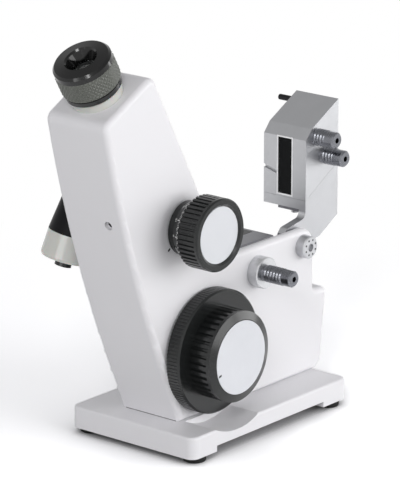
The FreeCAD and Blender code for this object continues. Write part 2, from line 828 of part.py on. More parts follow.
def make_covers():
    plate = inside_solid(cover_margin + seat_gap, cover_inner_y, housing_half_width)
    boss_y = gear_far_y + side_gap
    for x, z in ((wheel_x, wheel_z), (idler_x, idler_z), (scale_centre_x, scale_centre_z)):
        plate = plate.fuse(rod_y(x, z, boss_y, cover_inner_y + soft_round, gear_hub_radius))
    plate = plate.cut(rod_y(wheel_x, wheel_z, 0, cover_inner_y + cover_thickness / 2,
                            wheel_shaft_end_radius + running_gap))
    for x, z, radius in ((idler_x, idler_z, idler_pin_radius), (scale_centre_x, scale_centre_z, scale_pin_radius)):
        plate = plate.cut(rod_y(x, z, 0, cover_inner_y + cover_thickness / 2, radius))
    plate = plate.cut(rod_y(read_x, read_z, 0, housing_half_width + cut_over, swivel_spigot_radius))
    places = []
    for x, z in cover_screw_places():
        plate = plate.cut(rod_y(x, z, 0, housing_half_width + cut_over, cover_screw_radius + running_gap))
        plate = plate.cut(Part.makeCone(cover_screw_head_radius, cover_screw_radius, cover_screw_head_height,
                                        vec(x, housing_half_width, z), near))
        places.append(vec(x, housing_half_width, z))
    keep("side_cover", plate)
    keep("side_cover_screws", Part.makeCompound(
        screw_group(places, near, cover_screw_head_radius, cover_screw_head_height, cover_screw_radius,
                    cover_screw_reach, True)))
    top = vec(step_screw_x, step_screw_y, step_z + step_screw_height)
    keep("rear_step_screw", screw_group([top], up * -1, step_screw_radius, step_screw_height, step_screw_stem,
                                        step_screw_reach, False)[0])


def make_prism_seat():
    body = block(seat_start_x + seat_side_gap, seat_end_x, -inner_y + seat_side_gap, inner_y - seat_side_gap,
                 shelf_z, seat_top_z)
    top_edges = [e for e in body.Edges if all(v.Z > seat_top_z - soft_round for v in e.Vertexes)]
    body = body.makeChamfer(soft_round, top_edges)
    end_x = prism_start_x + prism_length
    low_z = seat_top_z - prism_height
    wedge = [(prism_start_x, seat_top_z), (end_x, seat_top_z), (prism_start_x + prism_toe, low_z)]
    grown = [(prism_start_x - prism_gap, seat_top_z + cut_over), (end_x + prism_gap * 3, seat_top_z + cut_over),
             (end_x + prism_gap * 3, seat_top_z - prism_gap), (prism_start_x + prism_toe, low_z - prism_gap * 2),
             (prism_start_x - prism_gap, seat_top_z - prism_gap)]
    pocket = side_plate([(x, z, 0) for x, z in grown], -prism_half_width - prism_gap, prism_half_width + prism_gap)
    body = body.cut(pocket)
    glass = side_plate([(x, z, 0) for x, z in wedge], -prism_half_width, prism_half_width)
    keep("measuring_prism", glass)

    body = body.cut(rod(vec(light_bore_x, 0, shelf_z - cut_over), vec(light_bore_x, 0, seat_top_z - prism_gap * 3),
                        light_bore_radius))
    for side in (-1, 1):
        y = side * water_bore_y
        body = body.cut(Part.makeCylinder(water_bore_radius, nozzle_x - seat_start_x - water_bore_margin + wall,
                                          vec(seat_start_x + water_bore_margin, y, nozzle_z), vec(1, 0, 0)))
        body = body.cut(rod(vec(nozzle_x, y, nozzle_z), vec(nozzle_x, side * inner_y, nozzle_z),
                            nozzle_stub_radius + running_gap))
    cross = Part.makeCylinder(water_bore_radius, 2 * water_bore_y,
                              vec(seat_start_x + water_bore_margin, -water_bore_y, nozzle_z), far)
    body = body.cut(cross)
    keep("prism_seat", body)
    collars = []
    nozzles = []
    for side, direction in ((-1, near), (1, far)):
        face = vec(nozzle_x, side * housing_half_width, nozzle_z)
        inner = wall + inner_y - water_bore_y - water_bore_radius
        bore = nozzle_bore_radius + nozzle_groove
        collars.append(turned_piece([(bore, -inner), (nozzle_stub_radius, -inner), (nozzle_stub_radius, 0),
                                     (nozzle_collar_radius, 0),
                                     (nozzle_collar_radius, nozzle_collar_length - soft_round),
                                     (nozzle_collar_radius - soft_round, nozzle_collar_length),
                                     (bore, nozzle_collar_length)], face, direction))
        nozzles.append(hose_nozzle(face + direction * nozzle_collar_length, direction, nozzle_length,
                                   nozzle_radius, bore - running_gap, nozzle_collar_length * 0.6))
    keep("water_collars", Part.makeCompound(collars))
    keep("water_nozzles", Part.makeCompound(nozzles))


def box_point(dx, dz):
    return hinge_x + dx, hinge_z + dz


def box_outline(points):
    return [box_point(dx, dz) + (radius,) for dx, dz, radius in points]


def seam_z(dx):
    return seam_front + (dx - box_front) * seam_rise_share


def make_prism_box():
    bevel_x = box_front + box_bevel
    bevel_z = box_shoulder + box_bevel * 1.15
    top_z = bevel_z + (box_back - bevel_x) * slope
    half = seam_gap / 2
    upper = side_plate(box_outline([(box_front, seam_front + half, 0), (box_front, box_shoulder, 0),
                                    (bevel_x, bevel_z, 0), (box_back, top_z, 0),
                                    (box_back, seam_z(box_back) + half, 0)]), -box_half_width, box_half_width)
    lower = side_plate(box_outline([(box_front, box_bottom, 0), (box_front, seam_front - half, 0),
                                    (box_back, seam_z(box_back) - half, 0), (box_back, box_bottom, 0)]),
                       -box_half_width, box_half_width)
    lug = side_plate(box_outline([(toe_x, toe_z, 0), (toe_x + toe_round * 0.9, toe_top_z, toe_round * 0.8),
                                  (box_front, heel_z, neck_round), (box_front, box_bottom + soft_round, 0),
                                  (box_back, box_bottom + soft_round, 0), (box_back, box_back_bottom, 0),
                                  (box_tail_x, box_tail_z, neck_round),
                                  (lug_root_radius * 0.9, -lug_root_radius * 0.4, 0),
                                  (0, -lug_root_radius, lug_root_radius * 0.4),
                                  (-lug_root_radius * 0.8, -lug_root_radius * 0.4, 0)]),
                     lug_near_y, lug_far_y)
    lug = lug.fuse(rod_y(hinge_x, hinge_z, lug_near_y, lug_far_y, lug_root_radius))
    lower = lower.fuse(lug)
    lower = lower.cut(rod_y(hinge_x, hinge_z, lug_near_y - cut_over, lug_far_y + cut_over,
                            hinge_pin_radius + running_gap))

    front_x = hinge_x + box_front
    slot_z0 = hinge_z + slot_bottom
    slot_z1 = slot_z0 + slot_length
    frame_half = slot_half_width + slot_frame
    frame = block(front_x, front_x + glass_sink, -frame_half, frame_half,
                  slot_z0 - slot_frame, slot_z1 + slot_frame)
    frame_hole = block(front_x - cut_over, front_x + glass_sink + cut_over, -slot_half_width, slot_half_width,
                       slot_z0, slot_z1)
    frame_room = block(front_x - cut_over, front_x + glass_sink, -frame_half, frame_half,
                       slot_z0 - slot_frame, slot_z1 + slot_frame)
    glass = block(front_x + glass_sink, front_x + glass_sink + glass_depth, -slot_half_width - slot_frame / 2,
                  slot_half_width + slot_frame / 2, slot_z0 - slot_frame / 2, slot_z1 + slot_frame / 2)
    back_x = hinge_x + box_back
    window_z0 = hinge_z + window_bottom
    light_way = block(front_x + glass_sink + glass_depth - soft_round, back_x + cut_over, -slot_half_width,
                      slot_half_width, window_z0 + window_thickness, window_z0 + window_length - window_thickness)
    window = block(back_x - window_thickness, back_x, -window_half_width, window_half_width,
                   window_z0, window_z0 + window_length)
    groove_y = -soft_round + slot_half_width + slot_frame
    groove = Part.makeBox(groove_depth + cut_over, (box_half_width - groove_y) * 1.2, groove_width)
    tilt = math.degrees(math.atan2(groove_edge_z - groove_slot_z, box_half_width - groove_y))
    groove.Placement = FreeCAD.Placement(vec(front_x - cut_over, groove_y, hinge_z + groove_slot_z),
                                         FreeCAD.Rotation(vec(1, 0, 0), tilt))
    upper = upper.cut(frame_room).cut(glass).cut(light_way).cut(window).cut(groove)
    lower = lower.cut(frame_room).cut(glass)
    keep("box_prism", glass)
    keep("box_window", window)
    keep("slot_frame", frame.cut(frame_hole))

    nozzles = []
    for dx, dz in ((upper_nozzle_x, upper_nozzle_z), (lower_nozzle_x, lower_nozzle_z)):
        x, z = box_point(dx, dz)
        face = vec(x, -box_half_width, z)
        upper = upper.cut(Part.makeCylinder(box_nozzle_stub_radius, box_nozzle_stub, face, far))
        nozzles.append(hose_nozzle(face, near, box_nozzle_length, box_nozzle_radius,
                                   box_nozzle_stub_radius, box_nozzle_stub))
    keep("box_nozzles", Part.makeCompound(nozzles))
    jacket_x = hinge_x + upper_nozzle_x
    jacket = rod(vec(jacket_x, -box_half_width + box_nozzle_stub - soft_round, hinge_z + upper_nozzle_z),
                 vec(jacket_x, -slot_half_width * 1.5, hinge_z + upper_nozzle_z), nozzle_bore_radius)
    upper = upper.cut(jacket)
    x, z = box_point(lift_pin_x, lift_pin_z)
    pin = rod_y(x, z, box_half_width - lift_pin_sink, box_half_width + lift_pin_length, lift_pin_radius)
    tip = [e for e in pin.Edges if all(v.Y > box_half_width for v in e.Vertexes) and len(e.Vertexes) == 1]
    keep("lift_pin", pin.makeFillet(soft_round, tip))
    upper = upper.cut(rod_y(x, z, box_half_width - lift_pin_sink, box_half_width + cut_over, lift_pin_radius))
    keep("prism_box", upper)

    bottom_z = hinge_z + box_bottom
    keeper = block(front_x + soft_round, front_x + keeper_depth, keeper_near_y, keeper_far_y,
                   bottom_z - keeper_thickness, bottom_z)
    head = vec(front_x + keeper_screw_inset + soft_round, keeper_screw_y,
               bottom_z - keeper_thickness - keeper_screw_height)
    stem_end = head + up * (keeper_screw_height + keeper_thickness + keeper_screw_reach)
    hole = rod(head, stem_end, keeper_screw_stem)
    keep("keeper_plate", keeper.cut(hole))
    keep("keeper_screw", screw_group([head], up, keeper_screw_radius, keeper_screw_height, keeper_screw_stem,
                                     keeper_thickness + keeper_screw_reach, False)[0])
    keep("hinge_block", lower.cut(hole))


def make_hinge_pin():
    outer = -housing_half_width
    head = turned_piece([(0, 0), (hinge_head_radius, 0), (hinge_head_radius, hinge_head_length - hinge_head_chamfer),
                         (hinge_head_radius - hinge_head_chamfer, hinge_head_length),
                         (hinge_socket_radius, hinge_head_length),
                         (hinge_socket_radius, hinge_head_length - hinge_socket_depth),
                         (0, hinge_head_length - hinge_socket_depth)], vec(hinge_x, outer, hinge_z), near)
    stem = rod_y(hinge_x, hinge_z, outer - soft_round, inner_ear_y0 + inner_ear_thickness, hinge_pin_radius)
    keep("hinge_pin", head.fuse(stem))


def scale_pad(along, length, radius):
    """A pad on the telescope's far flank, in line with the scale's reading point."""
    place = on_tube(along, read_across, scale_path_y)
    root = on_tube(along, read_across * (tube_radius - wall / 2) / read_distance,
                   scale_path_y * (tube_radius - wall / 2) / read_distance)
    pad = rod(place, place + tube_axis * length, radius)
    web = rod(root, root + tube_axis * length, radius * 0.7)
    return pad.fuse(web)


def make_telescope():
    tube = rod(on_tube(tube_start), on_tube(tube_end), tube_radius)
    size = scale_prism_size
    tube = tube.fuse(scale_pad(read_along - size / 2 - scale_pad_length, scale_pad_length, size / 2))
    tube = tube.fuse(scale_pad(scale_lens_along, scale_lens_thickness, scale_lens_radius + scale_lens_wall))
    tube = tube.cut(rod(on_tube(tube_start - cut_over), on_tube(tube_end + cut_over), tube_bore))
    tube = tube.cut(rod_y(compensator_x, compensator_z, -tube_radius * 2, 0, tube_window_radius))
    lens_place = on_tube(scale_lens_along, read_across, scale_path_y)
    tube = tube.cut(rod(lens_place - tube_axis * cut_over, lens_place + tube_axis * (scale_lens_thickness + cut_over),
                        scale_lens_radius))
    half_axis = tube_axis * (size / 2)
    start = vec(read_x, scale_path_y - size / 2, read_z) - half_axis
    prism_faces = Part.makePolygon([start, start + far * size, start + tube_axis * size, start])
    prism = Part.Face(prism_faces).extrude(tube_across * size)
    prism.translate(tube_across * (-size / 2))
    keep("scale_prism", prism)
    keep("telescope_tube", tube.cut(prism))
    objective = lens(tube_bore, objective_thickness, on_tube(tube_start + soft_round), tube_axis)
    keep("fixed_lenses", Part.makeCompound(
        [objective, lens(scale_lens_radius, scale_lens_thickness, lens_place, tube_axis)]))
    keep("reticle", rod(on_tube(reticle_place), on_tube(reticle_place + reticle_thickness), tube_bore))


def make_compensator():
    x, z = compensator_x, compensator_z
    back_y = -housing_half_width - bush_flange_thickness - side_gap
    start = vec(x, back_y, z)
    scale_start = comp_flange_thickness
    scale_end = scale_start + comp_scale_length
    length = scale_end + comp_grip_length
    shaft_hole = rod(start + far * cut_over, start + near * (length + cut_over), comp_shaft_radius)
    ring = turned_piece([(0, 0), (comp_flange_radius, 0), (comp_flange_radius, scale_start),
                         (comp_grip_radius - comp_rib_depth, scale_end), (0, scale_end)], start, near)
    keep("compensator_scale_ring", ring.cut(shaft_hole))
    ribbed = ribbed_disc(comp_grip_radius, comp_rib_depth, comp_rib_count).extrude(
        vec(0, 0, comp_grip_length - comp_rim_length))
    ribbed = placed(ribbed, start + near * scale_end, near)
    rim_start = start + near * (length - comp_rim_length)
    rim = turned_piece([(0, 0), (comp_grip_radius, 0), (comp_grip_radius, comp_rim_length - comp_rim_chamfer),
                        (comp_grip_radius - comp_rim_chamfer, comp_rim_length),
                        (comp_disc_radius + comp_rim_bevel, comp_rim_length),
                        (comp_disc_radius + running_gap, comp_rim_length - comp_disc_sink),
                        (0, comp_rim_length - comp_disc_sink)], rim_start, near)
    grip = ribbed.fuse(rim)
    disc_start = start + near * (length - comp_disc_sink - comp_disc_thickness)
    recess = Part.makeCylinder(comp_disc_radius + running_gap, comp_disc_thickness + cut_over, disc_start, near)
    grip = grip.cut(recess).cut(rod(start, disc_start, comp_shaft_radius))
    keep("compensator_grip", grip)
    keep("compensator_disc", Part.makeCylinder(comp_disc_radius, comp_disc_thickness, disc_start, near))
    shaft = rod(vec(x, pinion_inner_y, z), disc_start, comp_shaft_radius)
    teeth = placed(gear_face(pinion_teeth, fine_module, pinion_phase()).extrude(vec(0, 0, pinion_length)),
                   vec(x, pinion_inner_y, z), near)
    keep("compensator_shaft", shaft.fuse(teeth))
    for name, side in (("upper", 1), ("lower", -1)):
        direction = tube_axis * side
        pitch_gap = pinion_teeth * fine_module / 2 + crown_shift
        crown_base = pitch_gap + fine_module
        ring_start = vec(x, 0, z) + direction * crown_base
        body = Part.makeCylinder(cell_radius - running_gap, cell_length, ring_start, direction)
        body = body.cut(Part.makeCylinder(cell_bore, cell_length * 3, ring_start - direction * cell_length, direction))
        tooth_height = fine_module * 1.8
        pitch_width = 2 * math.pi * (crown_inner_radius + crown_outer_radius) / 2 / crown_teeth
        base_half = pitch_width * tooth_share * 0.56
        tip_half = pitch_width * tooth_tip_share * 0.5
        for i in range(crown_teeth):
            profile = [vec(crown_inner_radius, -base_half, soft_round), vec(crown_inner_radius, base_half, soft_round),
                       vec(crown_inner_radius, tip_half, -tooth_height),
                       vec(crown_inner_radius, -tip_half, -tooth_height)]
            tooth = Part.Face(Part.makePolygon(profile + profile[:1])).extrude(
                vec(crown_outer_radius - crown_inner_radius - side_gap / 2, 0, 0))
            tooth.rotate(vec(0, 0, 0), up, 360 / crown_teeth * i)
            frame = FreeCAD.Rotation(near, vec(0, 0, 0), direction, "ZXY")
            tooth.Placement = FreeCAD.Placement(ring_start, frame).multiply(tooth.Placement)
            body = body.fuse(tooth)
        keep("%s_prism_cell" % name, body)
        glass_start = ring_start + direction * amici_end_gap
        amici = Part.makeBox(2 * amici_half, 2 * amici_half, cell_length - 2 * amici_end_gap)
        amici.translate(vec(-amici_half, -amici_half, 0))
        keep("%s_dispersion_prism" % name,
             placed(amici, glass_start, direction).common(Part.makeCylinder(cell_bore, cell_length, glass_start,
                                                                            direction)))


def pinion_phase():
    """Turns the pinion so that a gap faces the crown teeth on the telescope's axis."""
    return math.pi / 2 + math.radians(tube_lean) + math.pi / pinion_teeth


def make_bushes():
    """Brass bushes that carry the two shafts in the near wall."""
    bushes = []
    for x, z, shaft, radius, flange, length in (
            (compensator_x, compensator_z, comp_shaft_radius, comp_bush_radius, comp_bush_flange_radius,
             housing_half_width + comp_bush_inner_y),
            (wheel_x, wheel_z, wheel_shaft_radius, wheel_bush_radius, wheel_bush_flange_radius,
             housing_half_width + wheel_bush_inner_y)):
        bore = shaft + running_gap
        bushes.append(turned_piece([(bore, -length), (radius, -length), (radius, 0), (flange, 0),
                                    (flange, bush_flange_thickness), (bore, bush_flange_thickness)],
                                   vec(x, -housing_half_width, z), near))
    keep("shaft_bushes", Part.makeCompound(bushes))


def spiral_cam():
    """Cam whose radius falls evenly round the spiral that the lever's roller follows."""
    points = []
    steps = 30
    for i in range(steps + 1):
        angle = -cam_reach - cam_lead + (2 * cam_reach + 2 * cam_lead) * i / steps
        radius = cam_mean_radius - cam_rise_height * angle / 360
        points.append(vec(radius * math.cos(math.radians(angle)), radius * math.sin(math.radians(angle)), 0))
    curve = Part.BSplineCurve()
    curve.interpolate(points)
    closing = Part.LineSegment(points[-1], points[0]).toShape()
    face = Part.Face(Part.Wire([curve.toShape(), closing]))
    solid = face.extrude(vec(0, 0, cam_thickness))
    return placed(solid, vec(wheel_x, cam_near_y + cam_thickness, wheel_z), near)


def make_handwheel():
    x, z = wheel_x, wheel_z
    start = vec(x, -housing_half_width - bush_flange_thickness - side_gap, z)
    edge = wheel_flange_chamfer
    ribbed = ribbed_disc(wheel_flange_radius, wheel_flange_rib_depth, wheel_flange_ribs).extrude(
        vec(0, 0, wheel_flange_thickness - edge))
    flange = placed(ribbed, start, near)
    lip = turned_piece([(0, 0), (wheel_flange_radius, 0), (wheel_flange_radius - edge, edge), (0, edge)],
                       start + near * (wheel_flange_thickness - edge), near)
    flange = flange.fuse(lip)
    shaft_hole = rod(start + far * cut_over, start + near * (wheel_flange_thickness + cut_over), wheel_shaft_radius)
    keep("handwheel_flange", flange.cut(shaft_hole))

    grip_start = start + near * wheel_flange_thickness
    length = wheel_grip_length + wheel_rim_length
    ribbed = ribbed_disc(wheel_grip_radius, wheel_grip_rib_depth, wheel_grip_ribs).extrude(
        vec(0, 0, wheel_grip_length))
    grip = placed(ribbed, grip_start, near)
    rim = turned_piece([(0, 0), (wheel_grip_radius, 0), (wheel_grip_radius, wheel_rim_length - wheel_rim_chamfer),
                        (wheel_disc_radius + soft_round, wheel_rim_length), (0, wheel_rim_length)],
                       grip_start + near * wheel_grip_length, near)
    grip = grip.fuse(rim)
    disc_start = grip_start + near * (length + wheel_disc_proud - wheel_disc_thickness)
    grip = grip.cut(Part.makeCylinder(wheel_disc_radius + running_gap, wheel_disc_thickness + cut_over,
                                      disc_start, near))
    grip = grip.cut(rod(grip_start + far * cut_over, disc_start, wheel_shaft_radius))
    keep("handwheel_grip", grip)
    keep("handwheel_disc", Part.makeCylinder(wheel_disc_radius, wheel_disc_thickness, disc_start, near))
    shaft = rod(vec(x, gear_far_y, z), disc_start, wheel_shaft_radius)
    end = rod_y(x, z, gear_far_y - soft_round, cover_inner_y + soft_round, wheel_shaft_end_radius)
    keep("handwheel_shaft", shaft.fuse(end))

    hub = rod_y(x, z, wheel_bush_inner_y + side_gap, cam_near_y, cam_hub_radius)
    keep("mirror_cam", spiral_cam().fuse(hub).cut(rod_y(x, z, -inner_y, inner_y, wheel_shaft_radius)))


def make_scale_drive():
    mesh_one = scale_bearing + idler_swing
    keep("drive_gear", gear(drive_teeth, fine_module, wheel_x, wheel_z, gear_near_y, gear_far_y,
                            wheel_shaft_radius, mesh_one))
    idler_phase = mesh_one + math.pi + math.pi / idler_teeth
    idler = gear(idler_teeth, fine_module, idler_x, idler_z, gear_near_y, gear_far_y,
                 idler_pin_radius + running_gap, idler_phase)
    keep("idler_gear", idler)
    mesh_two = math.atan2(scale_centre_z - idler_z, scale_centre_x - idler_x)
    turned_teeth = (mesh_two - idler_phase) / (2 * math.pi / idler_teeth)
    leftover = (turned_teeth - math.floor(turned_teeth)) * 2 * math.pi / scale_teeth
    scale_phase = mesh_two + math.pi + leftover + math.pi / scale_teeth
    x, z = scale_centre_x, scale_centre_z
    ring = gear(scale_teeth, fine_module, x, z, gear_near_y, gear_far_y, scale_pin_radius + running_gap, scale_phase)
    glass_y = gear_near_y + scale_web_thickness
    glass = rod_y(x, z, glass_y, gear_far_y, scale_glass_outer)
    glass = glass.cut(rod_y(x, z, gear_near_y, gear_far_y + cut_over, scale_glass_inner))
    window = rod_y(x, z, gear_near_y - cut_over, gear_far_y, scale_glass_outer - scale_rim)
    window = window.cut(rod_y(x, z, gear_near_y - cut_over, gear_far_y, scale_glass_inner + scale_rim))
    reach = scale_glass_outer * 2
    away = math.radians(180 - scale_lean)
    spoke = Part.Face(Part.makePolygon([vec(x, gear_near_y - cut_over, z)] + [
        vec(x + reach * math.cos(away + turn), gear_near_y - cut_over, z - reach * math.sin(away + turn))
        for turn in (-scale_spoke_turn, scale_spoke_turn)] + [vec(x, gear_near_y - cut_over, z)]))
    window = window.cut(spoke.extrude(vec(0, gear_thickness + cut_over, 0)))
    keep("scale_gear", ring.cut(glass).cut(window))
    keep("scale_disc", glass)


def make_pivot_pins():
    """Headed pins in the side cover for the two turning gears, and in the near wall for the lever."""
    pins = []
    for x, z, radius in ((idler_x, idler_z, idler_pin_radius), (scale_centre_x, scale_centre_z, scale_pin_radius)):
        head_y = gear_near_y - side_gap
        pin = rod_y(x, z, head_y, cover_inner_y + cover_thickness / 2, radius)
        pins.append(pin.fuse(rod_y(x, z, head_y - pin_head_thickness, head_y, radius + pin_head_rim)))
    hub_end = cam_near_y + cam_thickness + wall / 2
    pin = rod_y(lever_pin_x, lever_pin_z, -inner_y - wall / 2, hub_end + side_gap, lever_pin_radius)
    for y0, y1 in ((hub_end + side_gap, hub_end + side_gap + pin_head_thickness),
                   (-inner_y + wall, cam_near_y - wall - side_gap)):
        pin = pin.fuse(rod_y(lever_pin_x, lever_pin_z, y0, y1, lever_pin_radius + pin_head_rim))
    keep("pivot_pins", Part.makeCompound(pins + [pin]))


def make_mirror():
    y0 = cam_near_y
    y1 = cam_near_y + cam_thickness
    half = lever_width / 2
    px, pz = lever_pin_x, lever_pin_z
    upright = block(px - half, px + half, y0, y1, pz, wheel_z)
    dx = mirror_seat_x - px
    dz = mirror_seat_z - pz
    side = vec(dz, 0, -dx).normalize() * half
    foot = vec(px, y0, pz)
    top = vec(mirror_seat_x, y0, mirror_seat_z - mirror_seat_thickness / 2)
    corners = [foot + side, foot - side, top - side, top + side]
    branch = Part.Face(Part.makePolygon(corners + corners[:1])).extrude(vec(0, cam_thickness, 0))
    seat = block(mirror_seat_x - mirror_length / 2, mirror_seat_x + mirror_length / 2, -mirror_half_width,
                 mirror_half_width, mirror_seat_z - mirror_seat_thickness, mirror_seat_z)
    hub = rod_y(px, pz, y0 - wall, y1 + wall / 2, lever_hub_radius)
    fork = rod_y(px, wheel_z, y0, y1, half)
    lever = upright.fuse(branch).fuse(seat).fuse(hub).fuse(fork)
    lever = lever.cut(rod_y(px, pz, -inner_y, inner_y, lever_pin_radius + running_gap))
    roller_room = rod_y(px, wheel_z, y0 + cam_thickness / 4 - side_gap / 4, y1 - cam_thickness / 4 + side_gap / 4,
                        roller_radius + side_gap)
    lever = lever.cut(roller_room).fuse(rod_y(px, wheel_z, y0, y1, roller_pin_radius))
    keep("mirror_lever", lever)
    roller = rod_y(px, wheel_z, y0 + cam_thickness / 4, y1 - cam_thickness / 4, roller_radius)
    roller = roller.cut(rod_y(px, wheel_z, y0 - cut_over, y1 + cut_over, roller_pin_radius))
    keep("cam_roller", roller)
    keep("swing_mirror", block(mirror_seat_x - mirror_length / 2, mirror_seat_x + mirror_length / 2,
                               -mirror_half_width, mirror_half_width, mirror_seat_z,
                               mirror_seat_z + mirror_thickness))


def make_eyepiece():
    base = on_tube(eyepiece_along)
    collar = turned_piece([(eyepiece_tail_radius + running_gap, -collar_spigot_length),
                           (collar_spigot_radius, -collar_spigot_length), (collar_spigot_radius, 0),
                           (collar_radius, 0), (collar_radius, collar_height - soft_round),
                           (collar_radius - soft_round, collar_height),
                           (eyepiece_tail_radius + running_gap, collar_height)], base, tube_axis)
    keep("eyepiece_collar", collar)
    ring_start = collar_height + side_gap
    flange_start = ring_start + neck_height
    groove_start = flange_start + flange_ring_height
    knurl_start = groove_start + body_groove_width
    top_start = knurl_start + knurl_height
    body = turned_piece([(eyepiece_throat_radius, -eyepiece_tail_length), (eyepiece_tail_radius, -eyepiece_tail_length),
                         (eyepiece_tail_radius, ring_start), (neck_radius, ring_start), (neck_radius, flange_start),
                         (flange_ring_radius, flange_start), (flange_ring_radius, groove_start),
                         (body_groove_radius, groove_start), (body_groove_radius, knurl_start),
                         (eyepiece_throat_radius, knurl_start)], base, tube_axis)
    keep("eyepiece_body", body)
    knurl = ribbed_disc(knurl_radius, knurl_rib_depth, knurl_ribs).extrude(vec(0, 0, knurl_height))
    knurl = placed(knurl, base + tube_axis * knurl_start, tube_axis)
    knurl = knurl.cut(rod(base, base + tube_axis * (top_start + cut_over), eyepiece_throat_radius))
    grub_place = base + tube_axis * (top_start - grub_radius * 2.2)
    grub_way = (near - tube_across * 0.5).normalize()
    grub_hole = rod(grub_place + grub_way * (knurl_radius - grub_length), grub_place + grub_way * knurl_radius * 1.1,
                    grub_radius)
    keep("focus_ring", knurl.cut(grub_hole))
    keep("focus_grub_screw", rod(grub_place + grub_way * (knurl_radius - grub_length),
                                 grub_place + grub_way * (knurl_radius - knurl_rib_depth - soft_round), grub_radius))
    cup_top = top_start + top_ring_height - soft_round * 2
    cup_floor = cup_top - eyecup_depth
    lens_start = cup_floor - eye_lens_thickness
    spigot_radius = eyepiece_throat_radius - running_gap
    top = turned_piece([(eye_lens_radius - soft_round, lens_start - soft_round),
                        (spigot_radius, lens_start - soft_round), (spigot_radius, top_start),
                        (top_ring_radius, top_start),
                        (top_ring_radius, top_start + top_ring_shoulder),
                        (top_ring_bevel_radius, top_start + top_ring_bevel_height),
                        (top_ring_lip_radius, top_start + top_ring_height),
                        (eyecup_radius, cup_top), (eye_lens_radius, cup_floor),
                        (eye_lens_radius, lens_start), (eye_lens_radius - soft_round, lens_start)],
                       base, tube_axis)
    keep("eyepiece_top_ring", top)
    keep("eye_lens", lens(eye_lens_radius, eye_lens_thickness, base + tube_axis * lens_start, tube_axis))
    keep("field_lens", lens(eyepiece_throat_radius, eye_lens_thickness,
                            base + tube_axis * (soft_round - eyepiece_tail_length), tube_axis))


def make_calibration_screw():
    start = calibration_point(calibration_screw_sink)
    end = calibration_point(calibration_screw_sink + calibration_screw_length)
    screw = rod(start, end, calibration_screw_radius)
    slot = Part.makeBox(calibration_slot * 2, calibration_hole_radius * 2, calibration_slot)
    slot.translate(vec(-calibration_slot, -calibration_hole_radius, -calibration_slot / 2))
    slot.Placement = FreeCAD.Placement(start, FreeCAD.Rotation(vec(1, 0, 0), calibration_axis())).multiply(
        slot.Placement)
    keep("calibration_screw", screw.cut(slot))


def make_condenser():
    foot_y = housing_half_width
    foot = turned_piece([(swivel_bore, -cover_thickness), (swivel_spigot_radius, -cover_thickness),
                         (swivel_spigot_radius, 0), (swivel_foot_radius, 0),
                         (swivel_foot_radius - soft_round, swivel_foot_thickness), (swivel_bore, swivel_foot_thickness)],
                        vec(read_x, foot_y, read_z), far)
    keep("condenser_foot", foot)
    axis = vec(condenser_tilt_x_share, condenser_tilt_y_share, 0)
    axis.z = -math.sqrt(1 - axis.Length ** 2)
    top = vec(read_x, foot_y + condenser_stand, read_z)
    bell_start = condenser_length - condenser_bell_length
    thin = condenser_wall
    cone_back = bell_start - condenser_cone_length
    cone = turned_piece([(0, cone_back), (condenser_cone_radius, cone_back),
                         (condenser_bell_top_radius, bell_start), (condenser_bell_top_radius - thin, bell_start),
                         (condenser_cone_radius - thin, cone_back + thin * 2), (0, cone_back + thin * 2)], top, axis)
    stem = rod(vec(read_x, foot_y + swivel_foot_thickness + side_gap, read_z), top, swivel_radius)
    cone = cone.fuse(stem)
    spigot = rod(vec(read_x, foot_y - cover_thickness, read_z), top, swivel_bore - running_gap)
    light_way = rod(vec(read_x, foot_y - cover_thickness - cut_over, read_z), top, swivel_light_bore)
    keep("condenser_cone", cone.fuse(spigot).cut(light_way))
    bell = turned_piece([(condenser_bell_top_radius - thin, bell_start), (condenser_bell_top_radius, bell_start),
                         (condenser_rim_radius, condenser_length - condenser_lip * 2),
                         (condenser_rim_radius - condenser_lip, condenser_length),
                         (condenser_rim_radius - thin, condenser_length)], top, axis)
    keep("condenser_bell", bell)
    ring_start = condenser_length + lens_ring_proud - lens_ring_length
    inner_share = (ring_start - bell_start) / condenser_bell_length
    fit_radius = condenser_bell_top_radius - thin + (condenser_rim_radius - condenser_bell_top_radius) * inner_share
    ring = turned_piece([(lens_ring_bore, ring_start), (fit_radius - running_gap, ring_start),
                         (fit_radius - running_gap, condenser_length - condenser_lip),
                         (lens_ring_radius, condenser_length - condenser_lip),
                         (lens_ring_radius, condenser_length + lens_ring_proud),
                         (lens_ring_bore, condenser_length + lens_ring_proud)], top, axis)
    keep("condenser_lens_ring", ring)
    keep("condenser_lens", lens(lens_ring_bore, eye_lens_thickness,
                                top + axis * (ring_start + soft_round), axis))


def finish():
    """Moves the origin to the bottom centre of the whole and writes one file per piece."""
    bound = FreeCAD.BoundBox()
    for shape in nodes.values():
        bound.add(shape.optimalBoundingBox(False))
    shift = vec(-bound.Center.x, -bound.Center.y, -bound.ZMin)
    for name, shape in nodes.items():
        shape.translate(shift)
        shape.exportStep("parts/%s.step" % name)
    print("overall %.1f x %.1f x %.1f" % (bound.XLength, bound.YLength, bound.ZLength))
    return shift


make_base()
make_feet()
make_housing()
make_covers()
make_prism_seat()
make_prism_box()
make_hinge_pin()
make_telescope()
make_compensator()
make_bushes()
make_handwheel()
make_scale_drive()
make_mirror()
make_pivot_pins()
make_eyepiece()
make_calibration_screw()
make_condenser()
shift = finish()
for name, shape in nodes.items():
    solids = len(shape.Solids)
    print("%-26s solids %d volume %.0f valid %s" % (name, solids, shape.Volume, shape.isValid()))
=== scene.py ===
# %% [markdown]
# # A bench refractometer, dressed for a product picture
# The instrument is a white casting with black knobs, a satin metal prism box and a few glossy plastic
# pieces. Its solid pieces come ready made in one fixed frame, in metres, with +Z up. This notebook gives
# each of them a finish, and adds what is too fine for a solid: the knurl of the focusing ring, the crests
# of the hose nozzles and the marks of the scales.

# %% Load the fixed frame
import json
import math

